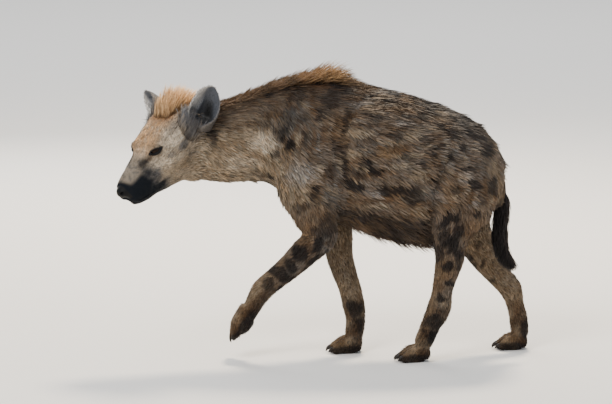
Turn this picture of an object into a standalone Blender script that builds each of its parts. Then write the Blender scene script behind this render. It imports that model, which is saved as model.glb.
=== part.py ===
"""Spotted hyena, life size and still: walking with its head low, weight on three paws.

Metres, +Z up. The animal walks towards -X, and its left side faces -Y. The floor is Z = 0.
The flesh is lofted round named stations, fused and smoothed as one skin, and then parted
into head, neck, torso and legs by thin straight cuts.
"""

import math
import random

import bmesh
import bpy
import numpy as np
from mathutils import Matrix, Vector
from mathutils.bvhtree import BVHTree

GAP = 0.0003  # between two nodes that touch

# The head's own frame: its origin lies between the ears, and it is turned to the left and
# bent down from the line of walk.
HEAD_PLACE = Vector((-0.445, -0.060, 0.672))
HEAD_TURN = math.radians(42)
HEAD_DIP = math.radians(42)

# Fusing the masses into one skin: voxel size and rounds of smoothing, coarse body then fine face.
BODY_VOXEL, BODY_ROUNDS = 0.0055, 22
FACE_VOXEL, FACE_ROUNDS = 0.0035, 16
SKIN_VOXEL, SKIN_ROUNDS = 0.0041, 4
SKIN_TRIANGLES = 4800

# Trunk, from the nape to the rump: x, y, top, bottom, half width, narrowing of the top.
TRUNK = (
    (-0.432, -0.052, 0.700, 0.528, 0.056, 1.0),
    (-0.396, -0.038, 0.715, 0.506, 0.074, 1.0),
    (-0.348, -0.021, 0.731, 0.504, 0.086, 1.1),
    (-0.290, -0.006, 0.746, 0.498, 0.093, 1.2),
    (-0.232, 0.003, 0.765, 0.500, 0.100, 1.25),
    (-0.174, 0.010, 0.784, 0.498, 0.110, 1.3),
    (-0.116, 0.012, 0.800, 0.456, 0.122, 1.35),
    (-0.065, 0.013, 0.808, 0.402, 0.132, 1.35),
    (-0.005, 0.013, 0.810, 0.380, 0.140, 1.3),
    (0.060, 0.012, 0.802, 0.374, 0.149, 1.2),
    (0.130, 0.011, 0.788, 0.352, 0.157, 1.1),
    (0.218, 0.010, 0.768, 0.330, 0.162, 1.0),
    (0.285, 0.009, 0.749, 0.324, 0.158, 1.0),
    (0.345, 0.008, 0.726, 0.348, 0.148, 1.0),
    (0.400, 0.006, 0.700, 0.386, 0.134, 1.0),
    (0.450, 0.004, 0.666, 0.408, 0.117, 1.0),
    (0.490, 0.002, 0.624, 0.424, 0.094, 1.0),
    (0.516, 0.000, 0.572, 0.445, 0.060, 1.0),
)

# Legs, from inside the body to the knuckles: x, y, z, half depth, half width.
LEFT_FORE = (
    (-0.012, -0.048, 0.700, 0.058, 0.040),
    (-0.040, -0.070, 0.610, 0.080, 0.052),
    (-0.066, -0.083, 0.515, 0.082, 0.055),
    (-0.036, -0.090, 0.430, 0.066, 0.050),
    (-0.012, -0.092, 0.362, 0.051, 0.043),
    (-0.055, -0.090, 0.315, 0.045, 0.038),
    (-0.100, -0.086, 0.270, 0.039, 0.034),
    (-0.143, -0.082, 0.233, 0.035, 0.031),
    (-0.178, -0.078, 0.203, 0.034, 0.032),
    (-0.201, -0.075, 0.166, 0.028, 0.032),
    (-0.223, -0.073, 0.126, 0.025, 0.035),
)
RIGHT_FORE = (
    (0.000, 0.066, 0.690, 0.058, 0.040),
    (-0.030, 0.088, 0.600, 0.080, 0.052),
    (-0.048, 0.100, 0.505, 0.080, 0.055),
    (0.000, 0.100, 0.420, 0.062, 0.050),
    (0.036, 0.089, 0.350, 0.048, 0.043),
    (0.042, 0.077, 0.282, 0.042, 0.038),
    (0.057, 0.066, 0.230, 0.038, 0.034),
    (0.073, 0.056, 0.181, 0.035, 0.032),
    (0.083, 0.049, 0.138, 0.034, 0.033),
    (0.089, 0.043, 0.090, 0.029, 0.033),
    (0.083, 0.039, 0.041, 0.027, 0.036),
)
LEFT_HIND = (
    (0.392, -0.056, 0.600, 0.080, 0.056),
    (0.394, -0.086, 0.520, 0.102, 0.066),
    (0.384, -0.100, 0.440, 0.096, 0.062),
    (0.367, -0.105, 0.385, 0.070, 0.053),
    (0.359, -0.108, 0.340, 0.053, 0.046),
    (0.356, -0.110, 0.295, 0.045, 0.039),
    (0.347, -0.111, 0.252, 0.038, 0.034),
    (0.336, -0.112, 0.205, 0.032, 0.031),
    (0.327, -0.113, 0.155, 0.037, 0.029),
    (0.303, -0.116, 0.103, 0.030, 0.029),
    (0.280, -0.118, 0.052, 0.028, 0.034),
)
RIGHT_HIND = (
    (0.402, 0.056, 0.590, 0.080, 0.056),
    (0.408, 0.086, 0.510, 0.098, 0.066),
    (0.406, 0.100, 0.430, 0.092, 0.062),
    (0.420, 0.105, 0.360, 0.070, 0.052),
    (0.445, 0.106, 0.305, 0.055, 0.045),
    (0.475, 0.104, 0.255, 0.043, 0.038),
    (0.508, 0.101, 0.215, 0.037, 0.033),
    (0.541, 0.098, 0.178, 0.036, 0.030),
    (0.555, 0.096, 0.135, 0.028, 0.028),
    (0.565, 0.095, 0.092, 0.028, 0.029),
    (0.570, 0.095, 0.047, 0.028, 0.034),
)

# Paws: the knuckle row's middle, the way the toes point, toe length, the spread of the row.
PAWS = {
    "forepaw_left": ((-0.226, -0.073, 0.118), (-0.58, -0.04, -0.81), 0.078, 0.082),
    "forepaw_right": ((0.076, 0.036, 0.0145), (-0.99, 0.03, -0.08), 0.070, 0.088),
    "hindpaw_left": ((0.270, -0.118, 0.015), (-0.99, -0.05, -0.08), 0.068, 0.080),
    "hindpaw_right": ((0.560, 0.095, 0.015), (-0.99, 0.03, -0.08), 0.068, 0.080),
}

# Skull, muzzle and jaw in the head's frame: forward, top, widest, bottom, half width, and the
# squareness of the section above and below its widest place.
SKULL = (
    (-0.085, 0.002, -0.040, -0.085, 0.050, 2.0, 2.0),
    (-0.045, 0.034, -0.034, -0.112, 0.069, 2.2, 2.0),
    (0.000, 0.046, -0.030, -0.128, 0.081, 2.3, 2.0),
    (0.040, 0.049, -0.028, -0.146, 0.086, 2.4, 2.0),
    (0.078, 0.046, -0.030, -0.144, 0.079, 2.4, 2.0),
    (0.108, 0.038, -0.034, -0.132, 0.064, 2.4, 2.1),
    (0.140, 0.028, -0.040, -0.117, 0.054, 2.5, 2.2),
    (0.175, 0.020, -0.042, -0.098, 0.049, 2.6, 2.3),
    (0.210, 0.014, -0.042, -0.086, 0.046, 2.7, 2.4),
    (0.240, 0.007, -0.036, -0.072, 0.041, 2.5, 2.4),
)
# Cheeks, jaw muscles, brows, temples, muzzle pads and the bridge beside the nose, each an egg in
# the head's frame on either side: centre and half axes.
FACE_EGGS = (
    ((0.050, 0.052, -0.030), (0.062, 0.036, 0.034)),
    ((0.030, 0.044, -0.080), (0.060, 0.036, 0.044)),
    ((0.090, 0.032, 0.026), (0.036, 0.022, 0.016)),
    ((0.010, 0.030, 0.020), (0.060, 0.034, 0.028)),
    ((0.210, 0.020, -0.034), (0.046, 0.025, 0.032)),
    ((0.150, 0.030, -0.010), (0.050, 0.018, 0.024)),
)
NOSE_EGG = ((0.249, 0, -0.011), (0.018, 0.022, 0.018))
CHIN_EGG = ((0.208, 0, -0.064), (0.040, 0.028, 0.017))
NOSTRIL_PLACE = (0.259, 0.0115, -0.006)
NOSTRIL_AXES = (0.009, 0.0048, 0.0050)
# The line of the closed lips: forward and height at its corner, what it gains by the front, half
# width, depth inwards and outwards, and half its thickness at the outside.
MOUTH_CORNER = (0.150, -0.080)
MOUTH_GAIN = (0.098, 0.034)
MOUTH_HALF_WIDTH = 0.046
MOUTH_DEPTH = (0.010, 0.018)
MOUTH_HALF_THICK = (0.0004, 0.0016)
EYE_RADIUS = 0.0160
EYE_PLACE = Vector((0.104, 0.0415, 0.0155))
EYE_WAY = Vector((0.60, 0.70, 0.36)).normalized()
EYE_LENGTH = 0.0330
EYE_HEIGHT = 0.0195
EYE_SLIT = Vector((0.76, -0.57, 0.08))
LID = 0.0026

# Ears in the head's frame, for each side: root, tip, the way the cup faces and its half width.
EARS = {
    "ear_left": ((-0.044, 0.072, -0.034), (-0.122, 0.129, 0.054), (0.655, 0.457, 0.591), 0.047),
    "ear_right": ((-0.030, -0.062, -0.014), (-0.078, -0.138, 0.048), (0.655, -0.457, 0.591), 0.045),
}
EAR_WALL = 0.0045
EAR_STEPS = 8
EAR_SPREAD = 8
# Along the ear: share of the length, share of the half width, and how far it wraps, in degrees.
EAR_SHAPE = (
    (0.00, 0.66, 168),
    (0.16, 0.74, 145),
    (0.36, 0.94, 105),
    (0.55, 1.00, 80),
    (0.74, 0.93, 66),
    (0.88, 0.72, 58),
    (0.96, 0.46, 52),
    (1.00, 0.20, 48),
)

# Tail, from its root to the end of its bone: x, y, z, half depth, half width.
TAIL = (
    (0.478, 0.000, 0.552, 0.024, 0.026),
    (0.503, 0.000, 0.508, 0.022, 0.024),
    (0.510, 0.000, 0.460, 0.019, 0.021),
    (0.507, 0.000, 0.412, 0.018, 0.019),
    (0.505, 0.000, 0.366, 0.016, 0.017),
    (0.508, 0.000, 0.328, 0.013, 0.014),
    (0.522, 0.000, 0.298, 0.009, 0.010),
)

# Locks: share of the length, of the width and of the thickness, from root to tip.
LOCK_SHAPE = (
    (0.00, 0.80, 1.00),
    (0.30, 1.00, 0.95),
    (0.58, 0.90, 0.70),
    (0.82, 0.55, 0.45),
    (1.00, 0.10, 0.15),
)
LOCK_WIDTH = 0.030
LOCK_THICK = 0.009
LOCK_SINK = 0.012
# The mane by its place along the body: x, length of its locks, and their lift in degrees.
MANE = (
    (-0.400, 0.055, 36),
    (-0.250, 0.060, 36),
    (-0.150, 0.066, 38),
    (-0.060, 0.084, 44),
    (0.050, 0.084, 40),
    (0.140, 0.060, 24),
)
MANE_END = 0.150
MANE_DROOP = math.radians(22)
# Its rows: distance from the spine, first x, step.
MANE_ROWS = (
    (0.0, -0.385, 0.030),
    (-0.027, -0.370, 0.037),
    (0.027, -0.370, 0.037),
)
# The crown tuft's rows, in the head's frame: forward, half spread, count.
CROWN_ROWS = (
    (-0.064, 0.028, 4),
    (-0.042, 0.036, 4),
    (-0.018, 0.040, 4),
    (0.008, 0.037, 4),
    (0.030, 0.018, 2),
)
CROWN_LENGTH = 0.070
CROWN_LIFT, CROWN_LIFT_GAIN = 72, 250
CROWN_DROOP = math.radians(34)
# The fringe's rows: y, first x, last x, step.
FRINGE_ROWS = (
    (0.0, 0.030, 0.350, 0.036),
    (-0.072, 0.100, 0.240, 0.028),
    (0.072, 0.120, 0.240, 0.032),
)
FRINGE_LENGTH = 0.060
FRINGE_WIDTH = 0.0345
FRINGE_LIFT, FRINGE_DROOP = math.radians(40), math.radians(30)
FRINGE_SINK = 0.010
BRUSH_STEP = 0.038
BRUSH_LENGTH = 0.066
BRUSH_WIDTH = 0.027
BRUSH_LIFT, BRUSH_DROOP = math.radians(26), math.radians(34)
BRUSH_SINK = 0.006
CLAW_LENGTH, CLAW_WIDTH, CLAW_DEPTH = 0.014, 0.0085, 0.0095
CLAW_LIFT, CLAW_DROOP = math.radians(74), math.radians(40)
CLAW_SINK = 0.006
LOCK_SEED = 11

# Where the skin is parted: each node is what lies behind its planes.
HEAD_PLANES = (((-0.372, -0.030, 0.620), (0.93, 0.10, 0.10)),)
NECK_PLANES = (((-0.165, 0, 0.58), (1, 0, -0.42)),)
LEG_PLANES = {
    "foreleg_left": (
        ((0, -0.040, 0.40), (0, 1, 0.10)), ((0, 0, 0.452), (-0.10, 0.25, 1)),
        ((0.070, 0, 0.40), (1, 0, -0.60)), ((-0.150, 0, 0.45), (-1, 0, 1.2)),
    ),
    "foreleg_right": (
        ((0, 0.040, 0.40), (0, -1, 0.25)), ((0, 0, 0.452), (0, -0.25, 1)),
        ((0.095, 0, 0.40), (1, 0, 0.30)),
    ),
    "hindleg_left": (
        ((0, -0.030, 0), (0, 1, 0)), ((0.39, 0, 0.475), (0.20, 0.30, 1)),
        ((0.288, 0, 0.40), (-1, 0, 0.18)),
    ),
    "hindleg_right": (
        ((0, 0.030, 0), (0, -1, 0)), ((0.39, 0, 0.475), (0.20, -0.30, 1)),
        ((0.300, 0, 0.40), (-1, 0, 0.18)),
    ),
}
PAW_PLANES = {
    "forepaw_left": (((-0.208, 0, 0.152), (0.50, 0, 0.87)),),
    "forepaw_right": (((0.087, 0, 0.078), (0.05, 0, 1)),),
    "hindpaw_left": (((0.296, 0, 0.088), (0.42, 0, 0.90)),),
    "hindpaw_right": (((0.566, 0, 0.080), (0.10, 0, 1)),),
}
FLOOR = (((0, 0, 0), (0, 0, -1)),)

COAT = ("coat", (0.33, 0.27, 0.20, 1), 0.85)
FINISHES = {
    "eye_left": ("eye", (0.03, 0.02, 0.015, 1), 0.08),
    "eye_right": ("eye", (0.03, 0.02, 0.015, 1), 0.08),
    "tail": ("tail hair", (0.03, 0.025, 0.02, 1), 0.8),
}


def clear_scene():
    for old in list(bpy.data.objects):
        bpy.data.objects.remove(old)


def head_matrix():
    forward = Vector((
        -math.cos(HEAD_TURN) * math.cos(HEAD_DIP),
        -math.sin(HEAD_TURN) * math.cos(HEAD_DIP),
        -math.sin(HEAD_DIP),
    ))
    left = Vector((math.sin(HEAD_TURN), -math.cos(HEAD_TURN), 0.0))
    up = forward.cross(left)
    turned = Matrix((forward, left, up)).transposed().to_4x4()
    return Matrix.Translation(HEAD_PLACE) @ turned


HEAD = head_matrix()


def smooth_stations(stations, step):
    """Rows of numbers read about every step metres along a smooth curve through the stations."""
    rows = np.array(stations, float)
    gaps = np.linalg.norm(np.diff(rows[:, :3], axis=0), axis=1)
    along = np.concatenate([[0.0], np.cumsum(gaps)])
    slopes = np.gradient(rows, along, axis=0)
    count = max(2, round(along[-1] / step))
    places = np.linspace(0, along[-1], count + 1)
    index = np.clip(np.searchsorted(along, places, side="right") - 1, 0, len(along) - 2)
    span = (along[index + 1] - along[index])[:, None]
    t = (places - along[index])[:, None] / span
    start, end = rows[index], rows[index + 1]
    start_slope, end_slope = slopes[index] * span, slopes[index + 1] * span
    return (
        start * (2 * t**3 - 3 * t**2 + 1)
        + start_slope * (t**3 - 2 * t**2 + t)
        + end * (3 * t**2 - 2 * t**3)
        + end_slope * (t**3 - t**2)
    )


def skinned(rings):
    """Points and faces of one closed surface through rings of equal count, capped at both ends."""
    rings = np.array(rings, float)
    count, sides, _ = rings.shape
    points = [tuple(p) for ring in rings for p in ring]
    points.append(tuple(rings[0].mean(axis=0)))
    points.append(tuple(rings[-1].mean(axis=0)))
    faces = []
    for i in range(count - 1):
        for j in range(sides):
            k = (j + 1) % sides
            faces.append((i * sides + j, i * sides + k, (i + 1) * sides + k, (i + 1) * sides + j))
    first, last = count * sides, count * sides + 1
    for j in range(sides):
        k = (j + 1) % sides
        faces.append((first, k, j))
        faces.append((last, (count - 1) * sides + j, (count - 1) * sides + k))
    return points, faces


def rounded_ends(rows, size_columns, share=0.7):
    """The rows with three more at each end that shrink towards a blunt, rounded tip."""
    rows = [np.array(r, float) for r in rows]
    out = []
    for here, inner, before in ((rows[0], rows[1], True), (rows[-1], rows[-2], False)):
        away = here[:3] - inner[:3]
        away /= max(np.linalg.norm(away), 1e-9)
        reach = share * min(here[c] for c in size_columns)
        made = []
        for angle in (30, 55, 78):
            row = here.copy()
            row[:3] = here[:3] + away * reach * math.sin(math.radians(angle))
            for c in size_columns:
                row[c] = here[c] * math.cos(math.radians(angle))
            made.append(row)
        out.append(made[::-1] if before else made)
    return out[0] + rows + out[1]


def oval_tube(stations, step=0.012, sides=20, across=(0, 1, 0)):
    """A closed tube of oval sections: x, y, z, half depth, half width, the width lying along across."""
    rows = rounded_ends(smooth_stations(stations, step), (3, 4))
    centres = np.array([r[:3] for r in rows])
    ways = np.gradient(centres, axis=0)
    rings = []
    for row, way in zip(rows, ways):
        way = way / max(np.linalg.norm(way), 1e-9)
        side = np.array(across, float) - np.dot(across, way) * way
        side /= np.linalg.norm(side)
        deep = np.cross(side, way)
        turns = np.linspace(0, 2 * math.pi, sides, endpoint=False)
        rings.append([
            row[:3] + deep * row[3] * math.cos(a) + side * row[4] * math.sin(a) for a in turns
        ])
    return skinned(rings)


def ball(centre, radii, turn=None, rings=10, sides=16):
    """An egg of three half axes, turned by a matrix where one is given."""
    points = []
    for i in range(1, rings):
        polar = math.pi * i / rings
        points.append([
            (
                radii[0] * math.cos(polar),
                radii[1] * math.sin(polar) * math.cos(2 * math.pi * j / sides),
                radii[2] * math.sin(polar) * math.sin(2 * math.pi * j / sides),
            )
            for j in range(sides)
        ])
    made, faces = skinned(points)
    made[-2] = (radii[0], 0, 0)
    made[-1] = (-radii[0], 0, 0)
    turn = turn or Matrix.Identity(3)
    return [tuple(Vector(centre) + turn @ Vector(p)) for p in made], faces


def trunk():
    """Neck, chest, belly and rump as upright sections."""
    stations = [(x, y, (top + low) / 2, top, low, half, slim) for x, y, top, low, half, slim in TRUNK]
    rings = []
    for x, y, _, top, low, half, narrow in smooth_stations(stations, 0.015):
        middle = low + 0.46 * (top - low)
        ring = []
        for a in np.linspace(0, 2 * math.pi, 28, endpoint=False):
            rise, out = math.cos(a), math.sin(a)
            height = top - middle if rise > 0 else middle - low
            power = narrow if rise > 0 else 0.92
            ring.append((x, y + half * math.copysign(abs(out) ** power, out), middle + height * rise))
        rings.append(ring)
    points, faces = skinned(rings)
    return points, [f[::-1] for f in faces]


def squared_ring(forward, top, widest, low, half, above, below, sides=26):
    """One section of the head, in the head's frame, each half of it a superellipse."""
    ring = []
    for a in np.linspace(0, 2 * math.pi, sides, endpoint=False):
        rise, out = math.cos(a), math.sin(a)
        power = 2 / (above if rise > 0 else below)
        height = (top - widest if rise > 0 else widest - low) * abs(rise) ** power
        ring.append((
            forward,
            half * math.copysign(abs(out) ** power, out),
            widest + math.copysign(height, rise),
        ))
    return ring


def placed_on_head(shape):
    points, faces = shape
    return [tuple(HEAD @ Vector(p)) for p in points], faces


def skull():
    stations = [(f, 0, w, t, l, h, u, d) for f, t, w, l, h, u, d in SKULL]
    rows = smooth_stations(stations, 0.010)
    rings = [squared_ring(f, t, w, l, h, u, d) for f, _, w, t, l, h, u, d in rows]
    points, faces = skinned(rings)
    return placed_on_head((points, [f[::-1] for f in faces]))


def head_masses():
    """The skull with all that stands out from it."""
    made = [skull()]
    for (x, y, z), axes in FACE_EGGS:
        made += [placed_on_head(ball((x, y * side, z), axes)) for side in (1, -1)]
    made += [placed_on_head(ball(*egg)) for egg in (NOSE_EGG, CHIN_EGG)]
    return made


def toe_frames(name):
    """Each toe of a paw: where it starts, its knuckle, its end, its radius, and its three ways."""
    middle, way, length, spread = PAWS[name]
    middle, way = Vector(middle), Vector(way).normalized()
    side = (Vector((0, 1, 0)) - way * way.y).normalized()
    above = way.cross(side)
    if above.z < 0:
        above = -above
    frames = []
    for i in range(4):
        place = (i - 1.5) / 1.5
        reach = length * (1.0 - 0.14 * place * place)
        fan = side * place * spread * 0.40
        radius = spread * 0.175
        start = middle - way * 0.022 + fan * 0.70 + above * 0.014
        knuckle = middle + way * reach * 0.40 + fan * 0.95 + above * 0.012
        end = middle + way * (reach - radius) + fan * 1.12
        frames.append((start, knuckle, end, radius, way, side, above))
    return frames


def toes(name):
    """Four toes side by side from the knuckle row, the outer two shorter, and the pad behind them."""
    made = []
    for start, knuckle, end, radius, way, side, above in toe_frames(name):
        stations = (
            (*start, radius * 1.60, radius * 1.10),
            (*knuckle, radius * 1.30, radius * 1.04),
            (*end, radius * 0.98, radius * 0.95),
        )
        made.append(oval_tube(stations, 0.008, 12, across=tuple(side)))
    middle, _, _, spread = PAWS[name]
    turn = Matrix((way, side, above)).transposed()
    pad = Vector(middle) + way * 0.016 - above * 0.010
    made.append(ball(pad, (0.034, spread * 0.44, 0.018), turn))
    return made


def tapered(root, normal, lie, length, width, thick, lift, droop, sink):
    """A flat lock, or a claw: it leaves its sunk root at an angle, bends over and runs to a point."""
    normal = Vector(normal).normalized()
    lie = (Vector(lie) - normal * Vector(lie).dot(normal)).normalized()
    side = normal.cross(lie)
    place = Vector(root) - normal * sink
    rings, before = [], 0.0
    for share, wide, deep in LOCK_SHAPE:
        angle = lift - droop * share
        way = lie * math.cos(angle) + normal * math.sin(angle)
        place = place + way * (length + sink) * (share - before)
        above = side.cross(way)
        before = share
        w, t = side * width / 2 * wide, above * thick / 2 * deep
        rings.append([tuple(place + w), tuple(place + t), tuple(place - w), tuple(place - t)])
    points = [p for ring in rings for p in ring]
    faces = [(3, 2, 1, 0), tuple(len(points) - 4 + k for k in range(4))]
    for i in range(len(rings) - 1):
        for j in range(4):
            k = (j + 1) % 4
            faces.append((i * 4 + j, i * 4 + k, i * 4 + 4 + k, i * 4 + 4 + j))
    return points, faces


def spine_y(x):
    return float(np.interp(x, [row[0] for row in TRUNK], [row[1] for row in TRUNK]))


def mane_locks(tree, draw):
    """Rows along the nape, withers and back: short and low on the neck, long and raised behind it."""
    made = []
    at, lengths, lifts = zip(*MANE)
    for offset, start, step in MANE_ROWS:
        x = start
        while x < MANE_END:
            height = float(np.interp(x, at, lengths))
            lift = math.radians(float(np.interp(x, at, lifts)))
            hit, normal, _, _ = tree.ray_cast(Vector((x, spine_y(x) + offset, 1.2)), Vector((0, 0, -1)))
            lie = Vector((1.0, 4.0 * offset + draw.uniform(-0.12, 0.12), 0.0))
            made.append(tapered(
                hit, normal, lie, height * draw.uniform(0.85, 1.12), LOCK_WIDTH, LOCK_THICK,
                lift * draw.uniform(0.85, 1.1), MANE_DROOP, LOCK_SINK,
            ))
            x += step * draw.uniform(0.92, 1.08)
    return made


def crown_locks(tree, draw):
    """The tuft on top of the head, standing up and fanning out."""
    made = []
    for forward, offset, count in CROWN_ROWS:
        for i in range(count):
            across = offset * (2 * i / (count - 1) - 1)
            start = HEAD @ Vector((forward, across, 0.2))
            down = (HEAD.to_3x3() @ Vector((0, 0, -1))).normalized()
            hit, normal, _, _ = tree.ray_cast(start, down)
            back = HEAD.to_3x3() @ Vector((-0.9 + draw.uniform(-0.15, 0.15), across * 7, 0.0))
            made.append(tapered(
                hit, normal, back, CROWN_LENGTH * draw.uniform(0.85, 1.15), LOCK_WIDTH, LOCK_THICK,
                math.radians(CROWN_LIFT + CROWN_LIFT_GAIN * forward), CROWN_DROOP, LOCK_SINK,
            ))
    return made


def fringe_locks(tree, draw):
    """Shaggy hair hanging under the belly, swept back."""
    made = []
    for offset, start, end, step in FRINGE_ROWS:
        x = start
        while x < end:
            hit, normal, _, _ = tree.ray_cast(Vector((x, spine_y(x) + offset, 0.1)), Vector((0, 0, 1)))
            lie = Vector((1.0, draw.uniform(-0.2, 0.2), -0.3))
            made.append(tapered(
                hit, normal, lie, FRINGE_LENGTH * draw.uniform(0.8, 1.2), FRINGE_WIDTH, LOCK_THICK,
                FRINGE_LIFT * draw.uniform(0.8, 1.1), FRINGE_DROOP, FRINGE_SINK,
            ))
            x += step * draw.uniform(0.9, 1.1)
    return made


def tail_locks(draw):
    """The brush: locks round the tail that hang past its end."""
    made = []
    rows = smooth_stations(TAIL, BRUSH_STEP)[2:]
    for i, row in enumerate(rows):
        centre = Vector(row[:3])
        down = (Vector(rows[min(i + 1, len(rows) - 1)][:3]) - Vector(rows[max(i - 1, 0)][:3])).normalized()
        for j in range(3):
            turn = 2 * math.pi * (j / 3 + i * 0.17)
            out = Vector((math.cos(turn), math.sin(turn), 0))
            out = (out - down * out.dot(down)).normalized()
            root = centre + out * row[3] * 0.9
            length = BRUSH_LENGTH * draw.uniform(0.85, 1.15)
            made.append(tapered(
                root, out, down, length, BRUSH_WIDTH, LOCK_THICK,
                BRUSH_LIFT, BRUSH_DROOP, BRUSH_SINK,
            ))
    return made


def claws():
    """A blunt claw at the end of each toe."""
    made = []
    for name in PAWS:
        for _, _, end, radius, way, _, above in toe_frames(name):
            root = end + way * radius * 0.55 + above * radius * 0.35
            made.append(tapered(
                root, way, -above, CLAW_LENGTH, CLAW_WIDTH, CLAW_DEPTH, CLAW_LIFT, CLAW_DROOP, CLAW_SINK,
            ))
    return made


def mesh_object(name, shapes):
    """One object whose mesh holds each (points, faces) shape as its own closed shell."""
    mesh = bpy.data.meshes.new(name)
    points, faces = [], []
    for more_points, more_faces in shapes:
        base = len(points)
        points += more_points
        faces += [tuple(base + i for i in f) for f in more_faces]
    mesh.from_pydata(points, [], faces)
    made = bpy.data.objects.new(name, mesh)
    bpy.context.scene.collection.objects.link(made)
    work = bmesh.new()
    work.from_mesh(mesh)
    bmesh.ops.recalc_face_normals(work, faces=work.faces)
    work.to_mesh(mesh)
    work.free()
    return made


def as_shape(made):
    """The object's points and faces, with the object itself removed."""
    points = [tuple(v.co) for v in made.data.vertices]
    faces = [tuple(p.vertices) for p in made.data.polygons]
    bpy.data.objects.remove(made)
    return points, faces


def settle(made):
    """The object's modifiers worked into its mesh."""
    graph = bpy.context.evaluated_depsgraph_get()
    mesh = bpy.data.meshes.new_from_object(made.evaluated_get(graph))
    made.modifiers.clear()
    old = made.data
    made.data = mesh
    bpy.data.meshes.remove(old)
    return made


def fused(made, voxel, rounds):
    """Overlapping shells made one skin, its creases filled by smoothing."""
    remesh = made.modifiers.new("fuse", "REMESH")
    remesh.mode = "VOXEL"
    remesh.voxel_size = voxel
    smooth = made.modifiers.new("soften", "SMOOTH")
    smooth.factor = 0.5
    smooth.iterations = rounds
    return settle(made)


def combined(made, tools, operation):
    """A Boolean of the object with each tool in turn; the tools are removed."""
    for tool in tools:
        cut = made.modifiers.new("cut", "BOOLEAN")
        cut.operation = operation
        cut.object = tool
        cut.solver = "MANIFOLD"
        settle(made)
        bpy.data.objects.remove(tool)
    return made


def joined(made, pieces):
    """One union of the object with a collection of closed pieces, which are then removed."""
    group = bpy.data.collections.new("joined pieces")
    bpy.context.scene.collection.children.link(group)
    for piece in pieces:
        bpy.context.scene.collection.objects.unlink(piece)
        group.objects.link(piece)
    union = made.modifiers.new("join", "BOOLEAN")
    union.operation = "UNION"
    union.operand_type = "COLLECTION"
    union.collection = group
    union.solver = "MANIFOLD"
    settle(made)
    for piece in list(group.objects):
        bpy.data.objects.remove(piece)
    bpy.data.collections.remove(group)
    return made


def kept_largest(made):
    """Only the largest closed surface of the mesh stays."""
    work = bmesh.new()
    work.from_mesh(made.data)
    bmesh.ops.triangulate(work, faces=work.faces)
    left = set(work.verts)
    islands = []
    while left:
        start = left.pop()
        island, edge = {start}, [start]
        while edge:
            here = edge.pop()
            for link in here.link_edges:
                other = link.other_vert(here)
                if other in left:
                    left.remove(other)
                    island.add(other)
                    edge.append(other)
        islands.append(island)
    sizes = []
    for island in islands:
        volume = 0.0
        for face in {f for v in island for f in v.link_faces}:
            a, b, c = (v.co for v in face.verts)
            volume += a.dot(b.cross(c)) / 6
        sizes.append(volume)
    keep = islands[sizes.index(max(sizes))]
    bmesh.ops.delete(work, geom=[v for v in work.verts if v not in keep], context="VERTS")
    work.to_mesh(made.data)
    work.free()
    return made


def region(name, planes, reach=2.0):
    """A convex block: all that lies behind each plane, given by a point and the way out of it."""
    work = bmesh.new()
    bmesh.ops.create_cube(work, size=2 * reach)
    for point, way in planes:
        way = Vector(way).normalized()
        every = work.verts[:] + work.edges[:] + work.faces[:]
        cut = bmesh.ops.bisect_plane(
            work, geom=every, dist=1e-7, plane_co=Vector(point), plane_no=way, clear_outer=True
        )
        rim = [e for e in cut["geom_cut"] if isinstance(e, bmesh.types.BMEdge)]
        if rim:
            bmesh.ops.contextual_create(work, geom=rim)
    bmesh.ops.recalc_face_normals(work, faces=work.faces)
    mesh = bpy.data.meshes.new(name)
    work.to_mesh(mesh)
    work.free()
    made = bpy.data.objects.new(name, mesh)
    bpy.context.scene.collection.objects.link(made)
    return made


def grown(planes, by):
    return [(Vector(p) + Vector(w).normalized() * by, w) for p, w in planes]


def parted(body, name, planes):
    """The piece of the body inside the block, as a new object; the body keeps the rest."""
    piece = bpy.data.objects.new(name, body.data.copy())
    bpy.context.scene.collection.objects.link(piece)
    combined(piece, [region(name + " block", planes)], "INTERSECT")
    combined(body, [region(name + " gap", grown(planes, GAP))], "DIFFERENCE")
    kept_largest(piece)
    return piece


def flesh():
    """The whole skin: large masses softened first, then head, toes and a second, lighter softening."""
    legs = (LEFT_FORE, RIGHT_FORE, LEFT_HIND, RIGHT_HIND)
    large = [trunk(), skull()] + [oval_tube(stations) for stations in legs]
    body = as_shape(fused(mesh_object("body", large), BODY_VOXEL, BODY_ROUNDS))
    face = as_shape(fused(mesh_object("face", head_masses()), FACE_VOXEL, FACE_ROUNDS))
    pieces = [body, face]
    for name in PAWS:
        pieces += toes(name)
    return fused(mesh_object("flesh", pieces), SKIN_VOXEL, SKIN_ROUNDS)


def thinned(made, triangles):
    """The mesh in about this many triangles."""
    fewer = made.modifiers.new("fewer", "DECIMATE")
    fewer.ratio = triangles / (2 * len(made.data.polygons))
    return settle(made)


def lens(name, centre, way, along, length, height, reach):
    """An almond-shaped block through the lids: two arcs meeting at the corners of the eye."""
    way = Vector(way).normalized()
    along = (Vector(along) - way * Vector(along).dot(way)).normalized()
    above = way.cross(along)
    if above.z < 0:
        above = -above
    ring = []
    for i in range(14):
        a = 2 * math.pi * i / 14
        rise = math.sin(a)
        share = 0.58 if rise > 0 else 0.42
        lid = math.copysign(height * share * abs(rise) ** 1.25, rise)
        ring.append(along * (length / 2 * math.cos(a)) + above * lid)
    centre = Vector(centre)
    rings = [[tuple(centre + way * d + p * k) for p in ring] for d, k in ((0.006, 0.86), (reach, 1.12))]
    points, faces = skinned(rings)
    return mesh_object(name, [placed_on_head((points, faces))])


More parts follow.
